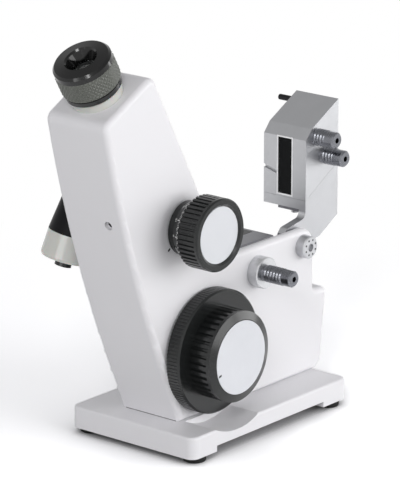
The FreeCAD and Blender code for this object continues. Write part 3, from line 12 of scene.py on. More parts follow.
import bpy
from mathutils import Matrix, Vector


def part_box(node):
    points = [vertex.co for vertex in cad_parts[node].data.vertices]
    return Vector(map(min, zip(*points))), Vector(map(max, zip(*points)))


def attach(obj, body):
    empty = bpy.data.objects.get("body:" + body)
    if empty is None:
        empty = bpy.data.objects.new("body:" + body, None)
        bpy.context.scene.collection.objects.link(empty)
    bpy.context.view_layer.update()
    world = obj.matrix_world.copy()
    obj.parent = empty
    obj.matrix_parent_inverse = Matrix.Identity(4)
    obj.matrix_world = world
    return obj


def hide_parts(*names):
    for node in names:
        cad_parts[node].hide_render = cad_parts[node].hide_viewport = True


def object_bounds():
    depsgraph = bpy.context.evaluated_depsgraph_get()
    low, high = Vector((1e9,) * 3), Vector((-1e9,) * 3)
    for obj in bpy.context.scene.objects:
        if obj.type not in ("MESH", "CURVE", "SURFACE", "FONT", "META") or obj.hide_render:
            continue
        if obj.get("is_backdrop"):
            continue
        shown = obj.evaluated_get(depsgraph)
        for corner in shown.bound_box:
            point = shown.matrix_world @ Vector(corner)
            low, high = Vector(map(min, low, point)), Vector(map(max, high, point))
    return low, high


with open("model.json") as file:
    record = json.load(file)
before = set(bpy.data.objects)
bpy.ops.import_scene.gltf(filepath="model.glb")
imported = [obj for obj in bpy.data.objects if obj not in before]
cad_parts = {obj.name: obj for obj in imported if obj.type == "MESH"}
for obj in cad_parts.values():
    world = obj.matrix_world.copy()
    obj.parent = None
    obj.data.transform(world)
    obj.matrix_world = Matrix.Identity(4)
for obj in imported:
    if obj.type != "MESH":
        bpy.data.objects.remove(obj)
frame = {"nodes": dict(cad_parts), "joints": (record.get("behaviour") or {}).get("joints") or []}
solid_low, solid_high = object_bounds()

MM = 0.001


def in_mm(lengths):
    """Metres as millimetres with one decimal, for a print."""
    return [round(v / MM, 1) for v in lengths]


print("solid box in mm:", in_mm(solid_high - solid_low))

# %% [markdown]
# ## Places that the pieces share
# A hinge of the frame holds a point on its axis and the axis itself. Knobs and rings turn about such axes,
# so every mark on them is placed from there and stays right when the piece behind it changes. Other places
# are read from the corner points of the solids.

# %% Hinges as origins
FRONT = Vector((0, -1, 0))
hinges = {joint["name"]: joint for joint in frame["joints"]}


def hinge_axis(name):
    """A point on a hinge's axis and the direction of the axis."""
    joint = hinges[name]
    return Vector(joint["pos_m"]), Vector(joint["axis"]).normalized()


def points_of(node):
    """The corner points of a solid's mesh."""
    return [Vector(v.co) for v in frame["nodes"][node].data.vertices]


wheel_centre, wheel_axis = hinge_axis("handwheel_turn")
knob_centre, knob_axis = hinge_axis("compensator_turn")
eye_base, eye_axis = hinge_axis("eyepiece_focus")
plate_low, plate_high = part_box("base_plate")
base_centre = (plate_low + plate_high) / 2
base_centre.z = 0
for label, place in (("handwheel", wheel_centre), ("knob", knob_centre), ("eyepiece", eye_base)):
    print(label, "at", in_mm(place))

# %% [markdown]
# ## Writing shader maths as plain sums
# A material is a graph of nodes, and most of its nodes only add or multiply. A small class that wraps one
# socket and answers to + - * lets the sums stand in the code as they would on paper. Every other node comes
# from one method that takes the node's type, its settings and what its sockets hold.

# %% A socket that can be added and multiplied
class Wire:
    """One output socket of a graph, usable in sums."""

    def __init__(self, graph, socket):
        self.graph = graph
        self.socket = socket

    def join(self, operation, other, swapped=False):
        """A Math node on this socket and another value or socket."""
        first, second = (other, self) if swapped else (self, other)
        return self.graph.node("ShaderNodeMath", {"operation": operation}, {0: first, 1: second})

    def __add__(self, other):
        return self.join("ADD", other)

    def __radd__(self, other):
        return self.join("ADD", other, True)

    def __sub__(self, other):
        return self.join("SUBTRACT", other)

    def __rsub__(self, other):
        return self.join("SUBTRACT", other, True)

    def __mul__(self, other):
        return self.join("MULTIPLY", other)

    def __rmul__(self, other):
        return self.join("MULTIPLY", other, True)

    def over(self, limit, softness):
        """0 below the limit and 1 above it, with a soft step."""
        return self.graph.node("ShaderNodeMapRange", {"interpolation_type": "SMOOTHSTEP"},
                               {"Value": self, "From Min": limit - softness, "From Max": limit + softness})


class Graph:
    """The nodes of a material or of the world."""

    def __init__(self, tree):
        self.tree = tree

    def node(self, kind, settings=None, sockets=None, output=0):
        """Any node, given back as the output that is wanted of it."""
        made = self.tree.nodes.new(kind)
        for key, value in (settings or {}).items():
            setattr(made, key, value)
        for key, value in (sockets or {}).items():
            if isinstance(value, Wire):
                self.tree.links.new(value.socket, made.inputs[key])
            else:
                made.inputs[key].default_value = value
        return Wire(self, made.outputs[output])

    def show(self, end, shader):
        """Sends a shader to the node at the end of the graph."""
        self.tree.links.new(shader.socket, self.tree.nodes[end].inputs["Surface"])


print("sums on sockets ready")

# %% [markdown]
# ## A material and its noise
# Every finish here is one Principled shader whose colour, roughness and relief drift a little over the
# surface. The drift could come from painted pictures, but noise that is read at the point's own place needs
# no unwrapping and has its true size in millimetres on every piece.

# %% A finish with one shader
class Finish(Graph):
    """A material with one Principled shader."""

    def __init__(self, name, **constants):
        self.material = bpy.data.materials.new(name)
        self.material.use_nodes = True
        super().__init__(self.material.node_tree)
        self.shader = self.tree.nodes["Principled BSDF"]
        for key, value in constants.items():
            socket = self.shader.inputs[key.replace("_", " ")]
            socket.default_value = (*value, 1) if isinstance(value, tuple) else value

    def feed(self, key, wire):
        self.tree.links.new(wire.socket, self.shader.inputs[key])

    def place(self):
        """The point on the piece, in the frame's metres."""
        return self.node("ShaderNodeTexCoord", output="Object")

    def noise(self, where, size, detail=2.0):
        """Noise with features of about this size in metres."""
        return self.node("ShaderNodeTexNoise", {"noise_dimensions": "3D"},
                         {"Vector": where, "Scale": 1 / size, "Detail": detail}, output="Fac")

    def grain(self, size, detail=2.0, stretch=(1, 1, 1)):
        """Noise over the piece, drawn out along the stretched axes."""
        stretched = self.node("ShaderNodeMapping", {"vector_type": "TEXTURE"},
                              {"Vector": self.place(), "Scale": stretch})
        return self.noise(stretched, size, detail)

    def shade(self, mask, dark, light):
        """A colour between two, by a mask."""
        return self.node("ShaderNodeMix", {"data_type": "RGBA"},
                         {"Factor": mask, 6: (*dark, 1), 7: (*light, 1)}, output=2)

    def bump(self, height, depth, strength):
        """Feeds the normal with a relief of this depth in metres."""
        self.feed("Normal", self.node("ShaderNodeBump", sockets={"Height": height, "Distance": depth,
                                                                 "Strength": strength}))

    def around(self, centre, axis):
        """Distance from an axis that runs along a direction through a centre."""
        offset = self.node("ShaderNodeVectorMath", {"operation": "SUBTRACT"}, {0: self.place(), 1: centre})
        across = self.node("ShaderNodeVectorMath", {"operation": "CROSS_PRODUCT"}, {0: offset, 1: axis})
        return self.node("ShaderNodeVectorMath", {"operation": "LENGTH"}, {0: across}, output="Value")


print("finishes ready")

# %% [markdown]
# ## White powder coat
# The casting, its base and its side cover are powder coated. A powder coat melts into a skin with a very
# fine orange-peel relief, so it is neither matt nor glossy. That relief is too fine for geometry, so two
# sizes of noise make it, and a faint drift of tone keeps the large flat sides from looking like card.

# %% Powder coat
WHITE = (0.825, 0.818, 0.838)
WHITE_DRIFT = 0.975
PEEL_SIZE = 0.7 * MM
FINE_PEEL_SIZE = 0.22 * MM
PEEL_DEPTH = 0.035 * MM


def powder_coat():
    """The skin of the casting."""
    coat = Finish("powder_coat_white", Roughness=0.42, Specular_IOR_Level=0.45, Coat_Weight=0.12,
                  Coat_Roughness=0.3)
    drift = coat.grain(60 * MM, detail=1.0)
    coat.feed("Base Color", coat.shade(drift, tuple(WHITE_DRIFT * c for c in WHITE), WHITE))
    peel = coat.grain(PEEL_SIZE)
    fine = coat.grain(FINE_PEEL_SIZE, detail=1.0)
    coat.feed("Roughness", 0.38 + peel * 0.1)
    coat.bump(peel * 0.7 + fine * 0.3, PEEL_DEPTH, 0.5)
    return coat.material


white = powder_coat()
print("made", white.name)

# %% [markdown]
# ## Plastics and rubber
# The knobs are moulded in black with a fine spark-eroded grain. The ring at the top of the eyepiece is
# polished black and the condenser's cone a duller satin black. The bell at the cone's end is a warm glossy
# white that lets a little light in, which is what subsurface scattering is for. One function makes all the
# black and grey plastics, because they differ only in tone, gloss and the depth of their grain.

# %% Moulded plastics
def moulded(name, colour, roughness, grain_depth, **constants):
    """A plastic whose tone goes up to about a third lighter where the grain stands proud."""
    skin = Finish(name, **constants)
    speckle = skin.grain(0.35 * MM, detail=3.0)
    cloud = skin.grain(9 * MM)
    light = tuple(min(1, c * 1.35 + 0.004) for c in colour)
    skin.feed("Base Color", skin.shade(speckle * 0.5 + cloud * 0.5, colour, light))
    skin.feed("Roughness", roughness - 0.06 + cloud * 0.12)
    skin.bump(speckle, grain_depth, 0.6)
    return skin.material


def warm_white():
    """The collar of the eyepiece and the bell of the condenser."""
    skin = Finish("glossy_warm_white", Roughness=0.22, Subsurface_Weight=0.25, Subsurface_Scale=4 * MM,
                  Coat_Weight=0.3)
    cloud = skin.grain(14 * MM)
    skin.feed("Base Color", skin.shade(cloud, (0.60, 0.60, 0.565), (0.65, 0.65, 0.61)))
    skin.feed("Roughness", 0.18 + cloud * 0.1)
    skin.bump(cloud, 0.05 * MM, 0.3)
    return skin.material


print("plastics ready")

# %% [markdown]
# ## Metals
# Turned pieces carry fine rings about their axis, ground pieces fine straight lines. Both are relief and a
# change of roughness, and at a tenth of a millimetre the shader does that better than a mesh. Lines are
# noise that is drawn out thirty to sixty times along one axis, and rings are noise that is read only by the
# distance from the axis.

# %% Brushed and turned metals
LINE_DEPTH = 0.02 * MM
RING_SIZE = 0.18 * MM
SILVER_DARK = (0.54, 0.55, 0.575)
SILVER_LIGHT = (0.61, 0.62, 0.645)
SILVER_ROUGHNESS = 0.38


def brushed(name, dark, light, roughness, stretch=(1, 1, 60), line=0.12 * MM):
    """A metal with fine lines along the stretched axis."""
    metal = Finish(name, Metallic=1.0, Roughness=roughness)
    lines = metal.grain(line, detail=3.0, stretch=stretch)
    cloud = metal.grain(12 * MM)
    metal.feed("Base Color", metal.shade(lines * 0.6 + cloud * 0.4, dark, light))
    metal.feed("Roughness", roughness - 0.08 + lines * 0.1 + cloud * 0.08)
    metal.bump(lines, LINE_DEPTH, 0.5)
    return metal.material


def turned_silver(name, centre, axis):
    """The disc in the middle of a knob, with rings about the knob's axis."""
    metal = Finish(name, Metallic=0.75, Roughness=SILVER_ROUGHNESS)
    only_distance = metal.node("ShaderNodeCombineXYZ", sockets={"X": metal.around(centre, axis)})
    rings = metal.noise(only_distance, RING_SIZE)
    cloud = metal.grain(9 * MM)
    metal.feed("Base Color", metal.shade(rings * 0.6 + cloud * 0.4, SILVER_DARK, SILVER_LIGHT))
    metal.feed("Roughness", SILVER_ROUGHNESS - 0.06 + rings * 0.12)
    metal.bump(rings, LINE_DEPTH, 0.5)
    return metal.material


print("metals ready")

# %% [markdown]
# ## Glass
# The prisms are dense flint glass. Looked at from outside, the sample prism in its slot is nearly black,
# because it shows the dark inside of its box. Real refraction there would need many bounces of light for
# the same picture, so the two sample prisms get a dark body with a polished face. Other glass is clear.

# %% Clear and dark glass
def clear_glass():
    """Lenses and windows, with a faint smear on their faces."""
    clear = Finish("optical_glass", Transmission_Weight=1.0, IOR=1.6, Roughness=0.02)
    smear = clear.grain(4 * MM)
    clear.feed("Base Color", clear.shade(smear, (0.90, 0.95, 0.95), (0.94, 0.97, 0.98)))
    clear.feed("Roughness", 0.01 + smear * 0.04)
    return clear.material


def dark_glass():
    """The prisms that show the dark inside of their boxes."""
    dark = Finish("dark_prism_glass", Roughness=0.12, Specular_IOR_Level=0.08)
    smear = dark.grain(5 * MM)
    dark.feed("Base Color", dark.shade(smear, (0.003, 0.003, 0.004), (0.010, 0.011, 0.012)))
    dark.feed("Roughness", 0.08 + smear * 0.1)
    return dark.material


print("glass ready")

# %% [markdown]
# ## A finish for every solid
# Each solid piece already knows its place, so giving it a finish is one line in a table: the finish, and
# the pieces that have it. The finishes come first, each from one of the recipes above.

# %% Finishes
black = moulded("knob_black", (0.008, 0.009, 0.009), 0.2, 0.012 * MM, Specular_IOR_Level=0.4)
gloss_black = moulded("gloss_black", (0.003, 0.003, 0.003), 0.12, 0.003 * MM, Specular_IOR_Level=0.4)
cone_black = moulded("cone_black", (0.005, 0.005, 0.006), 0.4, 0.01 * MM, Specular_IOR_Level=0.08)
ring_grey = moulded("ring_dark_grey", (0.085, 0.09, 0.078), 0.42, 0.02 * MM)
rubber = moulded("foot_rubber", (0.012, 0.012, 0.012), 0.75, 0.05 * MM, Specular_IOR_Level=0.2)
bell_white = warm_white()
nickel = brushed("satin_nickel", (0.45, 0.455, 0.472), (0.57, 0.575, 0.592), 0.36)
collar_metal = brushed("collar_metal", (0.52, 0.525, 0.54), (0.68, 0.685, 0.70), 0.26, stretch=(1, 30, 1))
thread_metal = brushed("thread_metal", (0.155, 0.16, 0.178), (0.245, 0.25, 0.27), 0.27,
                       stretch=(1, 1, 1), line=0.5 * MM)
bright_metal = brushed("bright_metal", (0.80, 0.80, 0.81), (0.90, 0.90, 0.91), 0.22)
seat_grey = brushed("seat_dark_grey", (0.165, 0.165, 0.18), (0.25, 0.25, 0.27), 0.40, stretch=(60, 1, 1))
steel = brushed("machined_steel", (0.48, 0.48, 0.49), (0.62, 0.62, 0.63), 0.30, stretch=(1, 40, 1))
brass = brushed("turned_brass", (0.60, 0.44, 0.18), (0.74, 0.58, 0.28), 0.30, stretch=(1, 30, 1))
black_metal = brushed("black_anodised", (0.018, 0.018, 0.02), (0.035, 0.035, 0.038), 0.42)
wheel_silver = turned_silver("wheel_disc_silver", wheel_centre, wheel_axis)
knob_silver = turned_silver("knob_disc_silver", knob_centre, knob_axis)
glass = clear_glass()
prism_glass = dark_glass()
silvered = Finish("silvered_mirror", Metallic=1.0, Roughness=0.03, Base_Color=(0.86, 0.87, 0.88)).material
print("black and grey plastics:", [m.name for m in (black, gloss_black, cone_black, ring_grey, rubber)])

# %% Finishes by piece
finishes = {
    white: ["base_plate", "housing", "side_cover"],
    bell_white: ["eyepiece_collar", "condenser_bell"],
    black: ["compensator_scale_ring", "compensator_grip", "handwheel_flange", "handwheel_grip",
            "eyepiece_body", "condenser_lens_ring"],
    gloss_black: ["eyepiece_top_ring"],
    cone_black: ["condenser_cone"],
    ring_grey: ["focus_ring"],
    rubber: ["rubber_feet"],
    nickel: ["prism_box", "hinge_block", "hinge_pin"],
    bright_metal: ["slot_frame"],
    collar_metal: ["water_collars"],
    thread_metal: ["box_nozzles", "water_nozzles"],
    seat_grey: ["prism_seat", "keeper_plate"],
    steel: ["base_screws", "side_cover_screws", "keeper_screw", "compensator_shaft",
            "handwheel_shaft", "pivot_pins", "cam_roller", "focus_grub_screw"],
    brass: ["shaft_bushes", "upper_prism_cell", "lower_prism_cell", "mirror_cam", "drive_gear",
            "idler_gear", "scale_gear"],
    black_metal: ["telescope_tube", "mirror_lever", "lift_pin", "condenser_foot", "rear_step_screw",
                  "calibration_screw"],
    wheel_silver: ["handwheel_disc"],
    knob_silver: ["compensator_disc"],
    glass: ["fixed_lenses", "reticle", "scale_prism", "upper_dispersion_prism", "lower_dispersion_prism",
            "scale_disc", "eye_lens", "field_lens", "condenser_lens", "box_window"],
    prism_glass: ["box_prism", "measuring_prism"],
    silvered: ["swing_mirror"],
}
dressed = set()
for finish, names in finishes.items():
    for name in names:
        mesh = frame["nodes"][name].data
        mesh.materials.clear()
        mesh.materials.append(finish)
        dressed.add(name)
print("dressed", len(dressed), "of", len(frame["nodes"]), "left:", sorted(set(frame["nodes"]) - dressed))

# %% [markdown]
# ## Building a new piece
# A piece is a mesh with its points in the frame's own metres. It rides on the body that carries it, so that
# it turns and folds with it, and it takes the finish that it is given. All the pieces below are cut or
# printed with crisp edges, so their faces are shaded flat.

# %% Piece helper
def new_piece(name, points, faces, finish, body):
    """A flat-shaded piece that rides on a body."""
    mesh = bpy.data.meshes.new(name)
    mesh.from_pydata([tuple(p) for p in points], [], faces)
    mesh.validate()
    mesh.shade_flat()
    mesh.materials.append(finish)
    piece = bpy.data.objects.new(name, mesh)
    bpy.context.scene.collection.objects.link(piece)
    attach(piece, body)
    print(name, "points", len(points), "faces", len(faces))
    return piece


def axis_system(axis, towards):
    """Two directions square to an axis; the first lies as near as it can to the given one."""
    first = (towards - axis * towards.dot(axis)).normalized()
    return first, axis.cross(first)


def turned_point(origin, axis, first, second, radius, angle, along):
    """A point by its radius, its angle and its height on an axis."""
    return origin + axis * along + (first * math.cos(angle) + second * math.sin(angle)) * radius


def hoop_faces(rows, around):
    """Faces between rows of points round an axis, with the last row joined to the first."""
    faces = []
    for k in range(rows):
        a, b = k * around, (k + 1) % rows * around
        faces += [(a + i, a + (i + 1) % around, b + (i + 1) % around, b + i) for i in range(around)]
    return faces


print("helpers ready")

# %% [markdown]
# ## Knurled focusing ring
# The ring under the eyecup has a diamond knurl: two families of grooves that cross at an angle. Each
# diamond is a small pyramid, so the height of a point is the lesser of two triangle waves, one for each
# family. A bump map would be quicker, but the ring stands against the background in the picture and its
# edge must show teeth, so the relief is real geometry.

# %% Diamond knurl
KNURL_AROUND = 46
KNURL_STEPS = 8
KNURL_ROWS = 44
KNURL_DEPTH = 0.55 * MM
KNURL_SQUASH = 0.8
RING_EDGE = 0.5 * MM
RING_EDGE_SLOPE = 0.4
ring_points = [p - eye_base for p in points_of("focus_ring")]
ring_heights = [p.dot(eye_axis) for p in ring_points]
ring_radii = [(p - eye_axis * p.dot(eye_axis)).length for p in ring_points]
ring_low, ring_high = min(ring_heights), max(ring_heights)
ring_bore, ring_radius = min(ring_radii), max(ring_radii)
print("ring in mm: from, to, bore, radius", in_mm((ring_low, ring_high, ring_bore, ring_radius)))


def triangle(x):
    """0 at whole numbers and 1 halfway between them."""
    return 1 - abs(2 * (x - math.floor(x)) - 1)


def knurl_radius(turn, along):
    """The radius at a share of a turn and a height on the ring."""
    pitch = 2 * math.pi * ring_radius / KNURL_AROUND
    u = KNURL_AROUND * turn
    v = (along - ring_low) / pitch * KNURL_SQUASH
    return ring_radius - KNURL_DEPTH * (1 - min(triangle(u + v), triangle(u - v)))


def knurled_ring():
    """The ring: its bore, a bevel, the rows of the knurl, a bevel and the bore again."""
    around = KNURL_AROUND * KNURL_STEPS
    first, second = axis_system(eye_axis, FRONT)
    bevel = ring_radius - KNURL_DEPTH - RING_EDGE * RING_EDGE_SLOPE
    height = ring_high - ring_low - 2 * RING_EDGE
    rows = [(ring_bore, ring_low), (bevel, ring_low)]
    rows += [(None, ring_low + RING_EDGE + height * i / KNURL_ROWS) for i in range(KNURL_ROWS + 1)]
    rows += [(bevel, ring_high), (ring_bore, ring_high)]
    points = []
    for radius, along in rows:
        for i in range(around):
            angle = 2 * math.pi * i / around
            r = knurl_radius(i / around, along) if radius is None else radius
            points.append(turned_point(eye_base, eye_axis, first, second, r, angle, along))
    return new_piece("focus_ring_knurl", points, hoop_faces(len(rows), around), ring_grey, "eyepiece")


focus_ring = knurled_ring()
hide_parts("focus_ring")

# %% [markdown]
# ## The dispersion scale
# The knob's cone carries a ring of white marks with a number at every tenth. Sixty divisions run one way
# round to half a turn and back again on the other half. The cone's two edges are read from the solid, and
# every mark and number is then laid on it by a share of the way out and an angle.

# %% Cone of the scale
CONE_INNER_RADIUS = 15.3 * MM
CONE_INNER_SLACK = 0.1 * MM
cone_points = [p - knob_centre for p in points_of("compensator_scale_ring")]
cone_reach = [(math.hypot(p.x, p.z), p.dot(FRONT)) for p in cone_points]
cone_outer = max(cone_reach)
cone_inner = max((along, radius) for radius, along in cone_reach
                 if abs(radius - CONE_INNER_RADIUS) < CONE_INNER_SLACK)[::-1]
cone_slope = math.atan2(cone_outer[0] - cone_inner[0], cone_outer[1] - cone_inner[1])
SCALE_ZERO_WAY = Vector((-1, 0, 0))
scale_first, scale_second = axis_system(FRONT, SCALE_ZERO_WAY)
print("cone in mm: from", in_mm(cone_inner), "to", in_mm(cone_outer))


def cone_point(share, angle, lift):
    """A point on the cone, a share of the way out, lifted off its surface."""
    radius = cone_inner[0] + (cone_outer[0] - cone_inner[0]) * share + lift * math.cos(cone_slope)
    along = cone_inner[1] + (cone_outer[1] - cone_inner[1]) * share - lift * math.sin(cone_slope)
    return turned_point(knob_centre, FRONT, scale_first, scale_second, radius, angle, along)


# %% [markdown]
# ## Marks on the cone
# Printed marks are a film of paint with sharp edges. A mask in the material could draw them too, but a thin
# raised strip for each mark stays sharp at any distance and turns with the knob without any mapping.

# %% Marks
MARKS = 120
PAINT = 0.04 * MM
MARK_END = 0.97
TENTH_START, TENTH_WIDTH = 0.52, 0.45 * MM
FIFTH_START, MARK_START, MARK_WIDTH = 0.66, 0.76, 0.32 * MM
mark_white = Finish("printed_white", Roughness=0.5, Base_Color=(0.86, 0.86, 0.84)).material


def scale_marks():
    """All the marks as one piece, each a thin strip from its start to the cone's rim."""
    points, faces = [], []
    for i in range(MARKS):
        start = TENTH_START if i % 10 == 0 else FIFTH_START if i % 5 == 0 else MARK_START
        width = TENTH_WIDTH if i % 10 == 0 else MARK_WIDTH
        angle = 2 * math.pi * i / MARKS
        half = width / 2 / cone_outer[0]
        base = len(points)
        for lift in (0, PAINT):
            for share, side in ((start, -1), (start, 1), (MARK_END, 1), (MARK_END, -1)):
                points.append(cone_point(share, angle + side * half, lift))
        faces += [(base, base + 1, base + 2, base + 3), (base + 4, base + 7, base + 6, base + 5)]
        for k in range(4):
            m = (k + 1) % 4
            faces.append((base + k, base + 4 + k, base + 4 + m, base + m))
    return new_piece("dispersion_scale_marks", points, faces, mark_white, "compensator")


scale_marks()

# %% [markdown]
# ## Numbers on the scale
# Blender's own font gives plain figures. Each number is a text curve that is turned into a mesh, laid on
# the cone with its foot towards the cone's rim, and joined to the others. So the whole scale is one piece,
# and no figure has to be drawn by hand.

# %% Numbers
NUMBERS = 12
NUMBER_SHARE = 0.28
NUMBER_SIZE = 2.3 * MM
NUMBER_NUDGE = 0.01


def number_mesh(text):
    """A number as a mesh that lies flat about its own middle."""
    curve = bpy.data.curves.new("number", "FONT")
    curve.body = text
    curve.size = NUMBER_SIZE
    curve.align_x = "CENTER"
    curve.align_y = "CENTER"
    curve.extrude = PAINT / 2
    holder = bpy.data.objects.new("number", curve)
    bpy.context.scene.collection.objects.link(holder)
    bpy.context.view_layer.update()
    mesh = bpy.data.meshes.new_from_object(holder.evaluated_get(bpy.context.evaluated_depsgraph_get()))
    bpy.data.objects.remove(holder)
    return mesh


def scale_numbers():
    """All the numbers as one piece: 0 to 60 on one half of the cone and back on the other."""
    points, faces = [], []
    for k in range(NUMBERS):
        angle = 2 * math.pi * k / NUMBERS
        origin = cone_point(NUMBER_SHARE, angle, PAINT)
        outwards = (cone_point(1, angle, 0) - cone_point(0, angle, 0)).normalized()
        along = (cone_point(NUMBER_SHARE, angle + NUMBER_NUDGE, PAINT) - origin).normalized()
        lift = along.cross(outwards * -1)
        if lift.dot(cone_point(NUMBER_SHARE, angle, 1) - origin) < 0:
            along = along * -1
            lift = lift * -1
        shape = number_mesh(str(10 * min(k, NUMBERS - k)))
        base = len(points)
        points += [origin + along * v.co.x - outwards * v.co.y + lift * v.co.z for v in shape.vertices]
        faces += [tuple(base + i for i in polygon.vertices) for polygon in shape.polygons]
    return new_piece("dispersion_scale_numbers", points, faces, mark_white, "compensator")


scale_numbers()

# %% [markdown]
# ## Threads of the hose nozzles
# A hose grips a nozzle by the ridges round it. They are turned with a pointed tool, so each ridge is a low
# ring with sloped flanks. The solid nozzle has the fine thread below them; these rings carry the coarse
# crests that catch the light, and each set stops short of the smooth tip. A profile that is turned about
# the nozzle's axis is all that such a ring needs.

# %% Finding the nozzles
BOX_NOZZLE_LENGTH = 14.6 * MM
WATER_NOZZLE_LENGTH = 19.5 * MM


def nozzle_groups(node, letter):
    """The points of the two nozzles of a node, told apart by the widest gap along one axis."""
    index = "xyz".index(letter)
    points = sorted(points_of(node), key=lambda p: p[index])
    gaps = [b[index] - a[index] for a, b in zip(points, points[1:])]
    cut = gaps.index(max(gaps)) + 1
    return points[:cut], points[cut:]


lower_box, upper_box = nozzle_groups("box_nozzles", "z")
near_water, far_water = nozzle_groups("water_nozzles", "y")
print("nozzle points", [len(group) for group in (lower_box, upper_box, near_water, far_water)])

# %% Crests
CREST_SIDES = 64
CREST_PITCH = 2.1 * MM
CREST_START = 0.6 * MM
CREST_SUNK = 0.12 * MM
CREST_PROUD = 0.28 * MM
CREST_CORE = 0.45 * MM
# A crest's corners: the height over the nozzle and the share of the pitch.
CREST_CORNERS = ((-CREST_SUNK, 0), (CREST_PROUD, 0.35), (CREST_PROUD, 0.5), (-CREST_SUNK, 0.85))
SMOOTH_TIP = 4.6 * MM
SEAM_WAY = Vector((0.3, 0.2, 1))


def crest_profile(radius, length):
    """(radius, along) points of the crests and of the hidden core that closes the ring."""
    count = int((length - CREST_START - SMOOTH_TIP) / CREST_PITCH)
    profile = []
    for k in range(count):
        foot = CREST_START + k * CREST_PITCH
        profile += [(radius + height, foot + CREST_PITCH * share) for height, share in CREST_CORNERS]
    core = radius - CREST_CORE
    return profile + [(core, CREST_START + count * CREST_PITCH), (core, CREST_START)]


def crests(name, nozzle, side, body, length):
    """Crests round one nozzle; side is +1 where it points along +Y."""
    middle_x = (min(p.x for p in nozzle) + max(p.x for p in nozzle)) / 2
    middle_z = (min(p.z for p in nozzle) + max(p.z for p in nozzle)) / 2
    tip = max(p.y * side for p in nozzle)
    radius = max(math.hypot(p.x - middle_x, p.z - middle_z) for p in nozzle)
    axis = Vector((0, side, 0))
    origin = Vector((middle_x, side * (tip - length), middle_z))
    first, second = axis_system(axis, SEAM_WAY)
    profile = crest_profile(radius, length)
    points = [turned_point(origin, axis, first, second, r, 2 * math.pi * i / CREST_SIDES, along)
              for r, along in profile for i in range(CREST_SIDES)]
    return new_piece(name, points, hoop_faces(len(profile), CREST_SIDES), thread_metal, body)


crests("upper_box_nozzle_crests", upper_box, -1, "upper_prism", BOX_NOZZLE_LENGTH)
crests("lower_box_nozzle_crests", lower_box, -1, "upper_prism", BOX_NOZZLE_LENGTH)
crests("near_nozzle_crests", near_water, -1, "stand", WATER_NOZZLE_LENGTH)
crests("far_nozzle_crests", far_water, 1, "stand", WATER_NOZZLE_LENGTH)

# %% [markdown]
# ## The hinge pin's face
# The round head of the hinge pin has a ring of small holes for a pin wrench, so that it can be drawn tight
# without a slot across it. From a distance they read as dark dots around the bright middle, the shade
# inside each hole. So each is a thin disc let into the face with that shade painted on it in dark colour,
# which needs no cut in the solid.

# %% Wrench holes
HOLES = 8
HOLE_SIDES = 16
HOLE_RADIUS = 0.62 * MM
HOLE_RING = 0.68
HOLE_HALF_DEPTH = 0.03 * MM
PIN_HEAD_DEPTH = 7 * MM
pin_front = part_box("hinge_pin")[0].y
pin_head = [p for p in points_of("hinge_pin") if p.y < pin_front + PIN_HEAD_DEPTH]
pin_left, pin_right = min(p.x for p in pin_head), max(p.x for p in pin_head)
pin_bottom, pin_top = min(p.z for p in pin_head), max(p.z for p in pin_head)
pin_face = Vector(((pin_left + pin_right) / 2, pin_front, (pin_bottom + pin_top) / 2))
pin_radius = (pin_right - pin_left) / 2
# A dark finish painted for the shade inside the wrench holes and the cut index marks.
painted_recess_shade = Finish("painted_recess_shade", Roughness=0.7, Base_Color=(0.03, 0.03, 0.032),
                    Specular_IOR_Level=0.2).material
print("pin head radius in mm", in_mm([pin_radius]))


def wrench_holes():
    """All the holes as one piece, each a disc whose middle plane lies in the face."""
    points, faces = [], []
    for k in range(HOLES):
        turn = 2 * math.pi * (k + 0.5) / HOLES
        centre = pin_face + Vector((math.cos(turn), 0, math.sin(turn))) * pin_radius * HOLE_RING
        back = len(points)
        front = back + HOLE_SIDES
        for depth in (HOLE_HALF_DEPTH, -HOLE_HALF_DEPTH):
            for i in range(HOLE_SIDES):
                a = 2 * math.pi * i / HOLE_SIDES
                x, z = math.cos(a) * HOLE_RADIUS, math.sin(a) * HOLE_RADIUS
                points.append(centre + Vector((x, depth, z)))
        faces += [tuple(reversed(range(back, front))), tuple(range(front, front + HOLE_SIDES))]
        for i in range(HOLE_SIDES):
            j = (i + 1) % HOLE_SIDES
            faces.append((back + i, back + j, front + j, front + i))
    return new_piece("hinge_pin_wrench_holes", points, faces, painted_recess_shade, "stand")


wrench_holes()

# %% [markdown]
# ## Index marks
# A scale is read against a fixed line. A short line on the casting stands beside the dispersion scale, and
# a small notch at the rim of the handwheel's disc shows how far the wheel has been turned. Both could be
# cut in the solids, but they are finer than anything else there. So they are thin bars that lie half in the
# surface, painted dark for the shade inside a cut, and placed from the knobs' own axes.

# %% Index lines
NOTCH_WAY = Vector((-0.94, 0, -0.34)).normalized()
NOTCH_SHARE = 0.91
NOTCH_SIZE = (2.2 * MM, 1.1 * MM, 0.08 * MM)
LINE_FROM_BASE = Vector((-62.5, -22.05, 118.7)) * MM
LINE_SIZE = (2.0 * MM, 1.0 * MM, 0.3 * MM)


def flat_bar(name, centre, long_way, wide_way, size, finish, body):
    """A bar by its middle, two directions, and its length, width and height."""
    length, width, height = size
    normal = long_way.cross(wide_way).normalized()
    points = [centre + long_way * (a * length / 2) + wide_way * (b * width / 2) + normal * (c * height / 2)
              for c in (-1, 1) for a, b in ((-1, -1), (1, -1), (1, 1), (-1, 1))]
    faces = [(3, 2, 1, 0), (4, 5, 6, 7), (0, 1, 5, 4), (1, 2, 6, 5), (2, 3, 7, 6), (3, 0, 4, 7)]
    return new_piece(name, points, faces, finish, body)


disc_low, disc_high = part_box("handwheel_disc")
disc_radius = (disc_high.x - disc_low.x) / 2
disc_face = Vector((wheel_centre.x, disc_low.y, wheel_centre.z))
flat_bar("handwheel_index", disc_face + NOTCH_WAY * disc_radius * NOTCH_SHARE, NOTCH_WAY,
         FRONT.cross(NOTCH_WAY), NOTCH_SIZE, painted_recess_shade, "handwheel")

